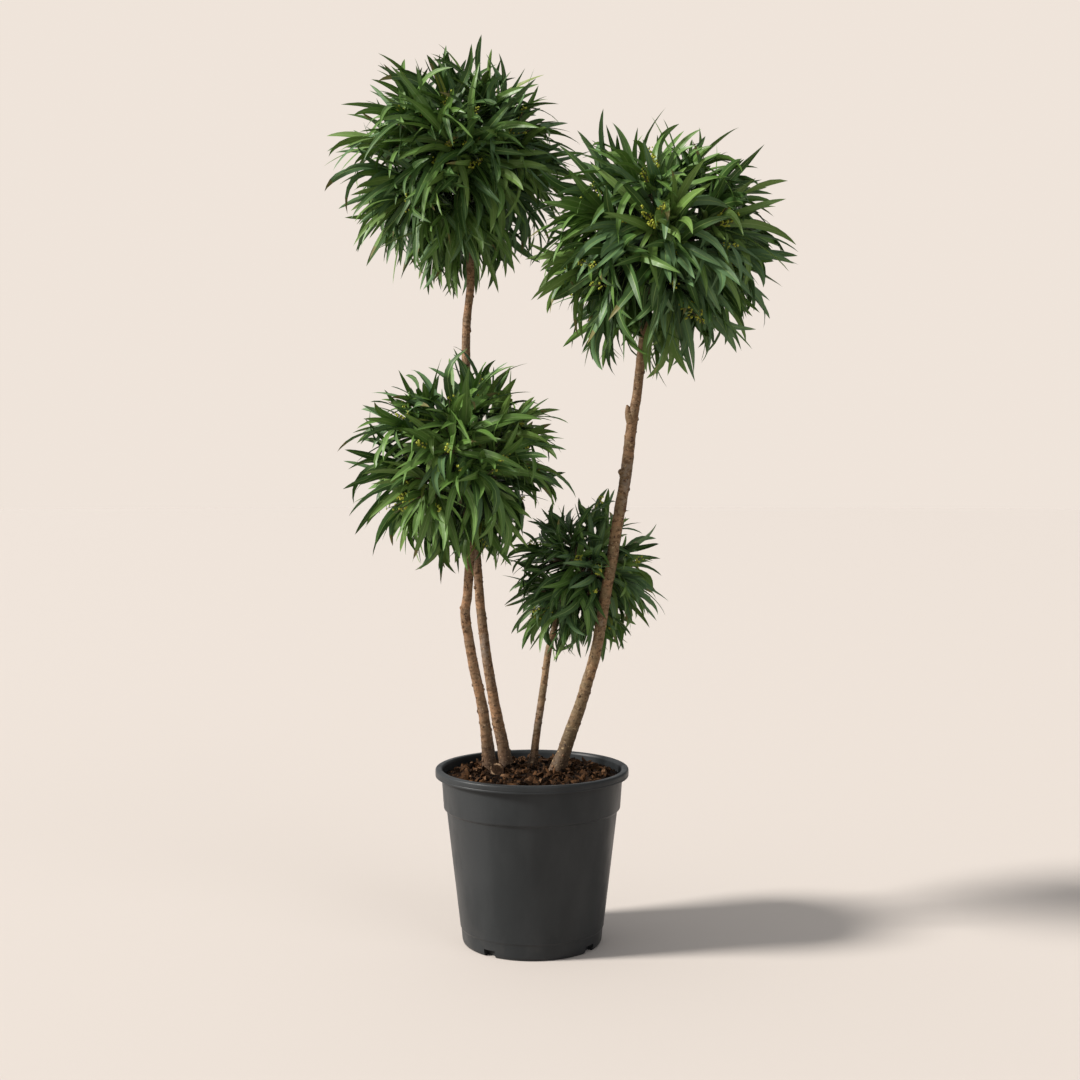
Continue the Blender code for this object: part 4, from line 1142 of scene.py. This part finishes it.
# %% Grow the twigs and leaves of one ball
def grow_ball(name):
    """Every twig line with its radii, every leaf, and the places of its buds.

    A leaf is its midrib, the way its width runs, its half width, its tone and whether its tip has withered.
    """
    ball = BALLS[name]
    rng = random.Random(ball["seed"])
    centre, heart, reach = np.array(ball["centre"]), ball["heart"], ball["reach"]
    stem = spline(STEMS[ball["stem"]], RING_STEP)
    along = unit(stem[-1, :3] - stem[-3, :3])
    foot = stem[-1, :3] + along * 0.0003
    trunk = spline([(*foot, stem[-1, 3]), (*(foot + along * 0.02), stem[-1, 3] * 0.96),
                    (*(centre - UP * heart * 0.2), stem[-1, 3] * 0.80),
                    (*(centre + UP * heart * 0.35), stem[-1, 3] * 0.50)], 0.012)
    twigs, leaves, buds = [trunk], [], []
    tuft_angle = 1.05 * math.acos(1.0 - 2.0 / ball["twigs"])
    for direction in even_directions(ball["twigs"], ball["front"], rng):
        start = centre + UP * direction[2] * heart * 0.35 - UP * heart * 0.1
        fork = centre + direction * heart * rng.uniform(*FORK_AT)
        bow = any_way(rng) * BOW
        bough = curved(start, fork, bow)
        if not off_limbs(bough[3:], TWIG_CLEARANCE):
            continue
        twigs.append(with_radii(bough, BOUGH_RADII))
        spin = rng.uniform(0.0, math.tau)
        bough_tone = some_tone(rng)
        for i in range(FORKS):
            off = tuft_angle * (0.0 if i == 0 else rng.uniform(*FAN))
            way = leaned(direction, off, spin + i * math.tau / (FORKS - 1))
            from_hub = unit(way - direction * way.dot(direction)) if i else np.zeros(3)
            tip = centre + way * reach * (rng.uniform(*TWIG_REACH) if i else 0.50)
            fine = curved(fork, tip, unit(way - UP * 0.2) * 0.004 + bow * 0.5, 7)
            if not (off_limbs(fine, TWIG_CLEARANCE) and in_own_space(fine, name, 0.004)):
                continue
            twigs.append(with_radii(fine, TWIG_RADII))
            sprig = ball["leaves"] // FORKS
            twigs_before, buds_before, leaves_before = len(twigs), len(buds), len(leaves)
            tone = bough_tone if rng.random() < 0.5 else some_tone(rng)
            for k in range(sprig):
                age = (k + 0.5) / sprig
                root = point_along(fine, 1.0 - 0.80 * age ** 0.8)
                spread = age if i else HUB_OPEN + (1.0 - HUB_OPEN) * age
                for attempt in range(LEAF_TRIES):
                    turn = GOLDEN_ANGLE * k + spin + attempt
                    foot_at = root + leaned(way, math.pi / 2.0, turn) * 0.0015
                    line, width_way, half = arching_leaf(ball, foot_at, way, turn, from_hub, spread, rng)
                    if leaf_stays(line[1:], name, half):
                        leaves.append((line, width_way, half, *dealt_tone(tone, rng)))
                        break
            for _ in range(rng.randrange(1, ball["spikes"] + 1) if i == 0 else rng.randrange(0, 2)):
                rise = unit(way + UP * 0.25 + leaned(way, math.pi / 2.0, rng.uniform(0.0, math.tau)) * 0.45)
                foot_at = point_along(fine, rng.uniform(0.7, 1.0))
                spike = curved(foot_at, foot_at + rise * rng.uniform(*SPIKE_LENGTH), bow * 0.5)
                if not (in_own_space(spike, name, 0.006) and off_limbs(spike, 0.006)
                        and np.linalg.norm(spike[-1] - centre) < reach * SPIKE_REACH):
                    continue
                spike_buds = [
                    point_along(spike, rng.uniform(0.30, 1.0))
                    + leaned(rise, math.pi / 2.0, GOLDEN_ANGLE * k) * rng.uniform(0.002, 0.006)
                    for k in range(rng.randrange(9, 19))]
                if in_own_space(spike, name, BUD_CLEARANCE):
                    twigs.append(with_radii(spike, SPIKE_RADII))
                    buds += spike_buds
            # A twig that is short of leaves bears no buds, which would hang bare in the open.
            if len(leaves) - leaves_before < sprig * LEAFY_SHARE:
                del twigs[twigs_before:], buds[buds_before:]
        # Older leaves further in, in a tone much darker than age gives: painted shade that keeps the middle
        # of the head dark.
        for _ in range(ball["leaves"] // INNER_SHARE):
            root = point_along(bough, rng.uniform(0.45, 1.0))
            inner = {**ball, "reach": reach * rng.uniform(0.55, 0.80)}
            line, width_way, half = arching_leaf(inner, root, direction, rng.uniform(0.0, math.tau),
                                                 np.zeros(3), rng.uniform(0.3, 1.0), rng)
            if leaf_stays(line[1:], name, half):
                leaves.append((line, width_way, half, OLD_SHADED, False))
    return twigs, leaves, buds


# %% Grow all four balls
heads = {name: grow_ball(name) for name in BALLS}
for name, (twigs, leaves, buds) in heads.items():
    lengths = [np.linalg.norm(np.diff(leaf[0], axis=0), axis=1).sum() for leaf in leaves]
    print(name, "twigs", len(twigs), "leaves", len(leaves), "buds", len(buds),
          "mean leaf mm", round(1000 * float(np.mean(lengths))))

# %% [markdown]
# ## From midribs to blades
# A blade is a shallow gutter swept along its midrib and scaled at each point to the leaf's width. Geometry
# Nodes do that for every leaf of a ball at once: the midribs come in as lines with attributes for the width,
# the way the width runs and the leaf's tone, and the tree sweeps one small profile along all of them. The
# narrow strip over the midrib, the blade and a withered tip each take a plain finish of their own.

# %% Leaf finishes
def leaf_finish(name, colour, roughness):
    """Smooth leathery leaf: one plain green, with gloss that varies and a fine grain."""
    finish = Finish(name, roughness, 0.27)
    finish.shader.inputs["Base Color"].default_value = (*colour, 1.0)
    finish.roughness(finish.patches(55.0, 0.35, 0.65), roughness - 0.04, roughness + 0.12)
    finish.grain(600.0, 0.3, 0.12, 0.0004)
    return finish.material


LEAF_TONES = [
    leaf_finish("leaf_deep", (0.040, 0.090, 0.019), 0.44),
    leaf_finish("leaf_green", (0.083, 0.163, 0.031), 0.42),
    leaf_finish("leaf_bluish", (0.082, 0.155, 0.062), 0.46),
    leaf_finish("leaf_fresh", (0.108, 0.186, 0.040), 0.44),
    leaf_finish("leaf_yellowing", (0.160, 0.205, 0.034), 0.45),
    # older leaves are a deeper green, and this tone is darker still: painted shade for the inside of each
    # head
    leaf_finish("leaf_old", (0.010, 0.024, 0.005), 0.60),
]
MIDRIB = leaf_finish("leaf_midrib", (0.165, 0.250, 0.075), 0.46)
TIP = leaf_finish("leaf_tip", (0.130, 0.120, 0.036), 0.55)
BUD = leaf_finish("bud_skin", (0.360, 0.390, 0.045), 0.50)
TWIG = two_tone("twig_bark", (0.75, 0.35), (60.0, 0.4, 0.65), (0.120, 0.078, 0.046), (0.070, 0.072, 0.034),
                (600.0, 0.3, 0.4, 0.0006, (1.0, 1.0, 2.0)))
print("leaf tones:", [finish.name for finish in LEAF_TONES])

# %% The blade's profile and the sweeping tree
profile_mesh = mesh_of("blade_profile", [
    (1.0, 0.27, 0.0), (0.58, 0.17, 0.0), (0.075, 0.0, 0.0), (-0.075, 0.0, 0.0), (-0.58, 0.17, 0.0),
    (-1.0, 0.27, 0.0)], edges=[(i, i + 1) for i in range(5)])
over_rib = profile_mesh.attributes.new("over_rib", "BOOLEAN", "POINT")
over_rib.data.foreach_set("value", [False, False, True, True, False, False])
profile = bpy.data.objects.new("blade_profile", profile_mesh)


def named(tree, attribute, kind):
    """Reads an attribute of the lines."""
    return node(tree, "GeometryNodeInputNamedAttribute", {"Name": attribute}, "Attribute", data_type=kind)


blade_tree, take, end = geometry_tree("blades_on_midribs", {
    "Profile": "Object", "Weld": 0.00001, "Withered From": 0.86})
aimed = node(blade_tree, "GeometryNodeSetCurveNormal", {
    "Curve": node(blade_tree, "GeometryNodeMeshToCurve", {"Mesh": take["Geometry"]}),
    "Normal": named(blade_tree, "width_way", "FLOAT_VECTOR")}, mode="FREE")
profile_here = node(blade_tree, "GeometryNodeObjectInfo", {"Object": take["Profile"]}, "Geometry")
blades = node(blade_tree, "GeometryNodeCurveToMesh", {
    "Curve": aimed, "Profile Curve": node(blade_tree, "GeometryNodeMeshToCurve", {"Mesh": profile_here}),
    "Scale": named(blade_tree, "half_width", "FLOAT")})
blades = node(blade_tree, "GeometryNodeMergeByDistance", {"Geometry": blades, "Distance": take["Weld"]})
blades = node(blade_tree, "GeometryNodeSetShadeSmooth", {"Geometry": blades})
blades = node(blade_tree, "GeometryNodeRealizeInstances", {"Geometry": blades})
tone_here = named(blade_tree, "tone", "INT")
coats = []
for number, finish in enumerate(LEAF_TONES):
    coats.append((node(blade_tree, "FunctionNodeCompare", {2: tone_here, 3: number}, data_type="INT",
                       operation="EQUAL"), finish))
beyond = compared(blade_tree, named(blade_tree, "along", "FLOAT"), take["Withered From"], "GREATER_THAN")
coats += [(named(blade_tree, "over_rib", "BOOLEAN"), MIDRIB),
          (both(blade_tree, beyond, named(blade_tree, "withered", "BOOLEAN")), TIP)]
for selection, finish in coats:
    blades = node(blade_tree, "GeometryNodeSetMaterial", {
        "Geometry": blades, "Selection": selection, "Material": finish})
blade_tree.links.new(blades, end["Geometry"])
print("blade tree:", len(blade_tree.nodes), "nodes")

# %% The twig tree
twig_tree, take, end = geometry_tree("tubes_on_twigs", {"Sides": 7, "Finish": "Material"})
hoop = node(twig_tree, "GeometryNodeCurvePrimitiveCircle", {
    "Resolution": take["Sides"], "Radius": 1.0}, mode="RADIUS")
tubes = node(twig_tree, "GeometryNodeCurveToMesh", {
    "Curve": node(twig_tree, "GeometryNodeMeshToCurve", {"Mesh": take["Geometry"]}),
    "Profile Curve": hoop, "Scale": named(twig_tree, "half_width", "FLOAT"), "Fill Caps": True})
end_tree(twig_tree, tubes, take, end, smooth=True)
print("twig tree:", len(twig_tree.nodes), "nodes")

# %% The bud tree
bud_tree, take, end = geometry_tree("buds_on_twigs", {
    "Smallest": 0.0010, "Largest": 0.0022, "Seed": 3, "Finish": "Material"})
set_out = node(bud_tree, "GeometryNodeInstanceOnPoints", {
    "Points": take["Geometry"], "Scale": size_between(bud_tree, take),
    "Instance": node(bud_tree, "GeometryNodeMeshIcoSphere", {"Radius": 1.0, "Subdivisions": 2}, "Mesh")})
end_tree(bud_tree, set_out, take, end, smooth=True)
print("bud tree:", len(bud_tree.nodes), "nodes")


# %% Lines that carry their own attributes
def line_mesh(name, lines, attributes):
    """Separate open lines in one mesh; each attribute gives its kind and one value for every point."""
    edges, first = [], 0
    for line in lines:
        edges += [(first + i, first + i + 1) for i in range(len(line) - 1)]
        first += len(line)
    mesh = mesh_of(name, np.concatenate(lines), edges=edges)
    for label, (kind, values) in attributes.items():
        field = "vector" if kind == "FLOAT_VECTOR" else "value"
        mesh.attributes.new(label, kind, "POINT").data.foreach_set(field, np.ravel(values))
    return mesh


# %% Make the leaves, twigs and buds
for name, (twigs, leaves, buds) in heads.items():
    steps = len(LEAF_AT)
    midribs = line_mesh(name + "_midribs", [leaf[0] for leaf in leaves], {
        "width_way": ("FLOAT_VECTOR", np.concatenate([leaf[1] for leaf in leaves])),
        "half_width": ("FLOAT", np.concatenate([leaf[2] * LEAF_WIDTH_AT for leaf in leaves])),
        "along": ("FLOAT", np.tile(LEAF_AT, len(leaves))),
        "tone": ("INT", np.repeat([leaf[3] for leaf in leaves], steps)),
        "withered": ("BOOLEAN", np.repeat([leaf[4] for leaf in leaves], steps)),
    })
    twig_lines = line_mesh(name + "_twig_lines", [twig[:, :3] for twig in twigs], {
        "half_width": ("FLOAT", np.concatenate([twig[:, 3] for twig in twigs]))})
    bud_points = mesh_of(name + "_bud_points", buds)
    for label, mesh, tree, values, slot, nodes in (
            ("_leaves", midribs, blade_tree, {"Profile": profile}, "foliage", [name]),
            ("_twigs", twig_lines, twig_tree, {"Finish": TWIG}, "bark", []),
            ("_buds", bud_points, bud_tree, {"Finish": BUD}, "foliage", [])):
        piece = new_object(name + label, grown(name + label, mesh, tree, values))
        finish_piece(piece, slot, *nodes)
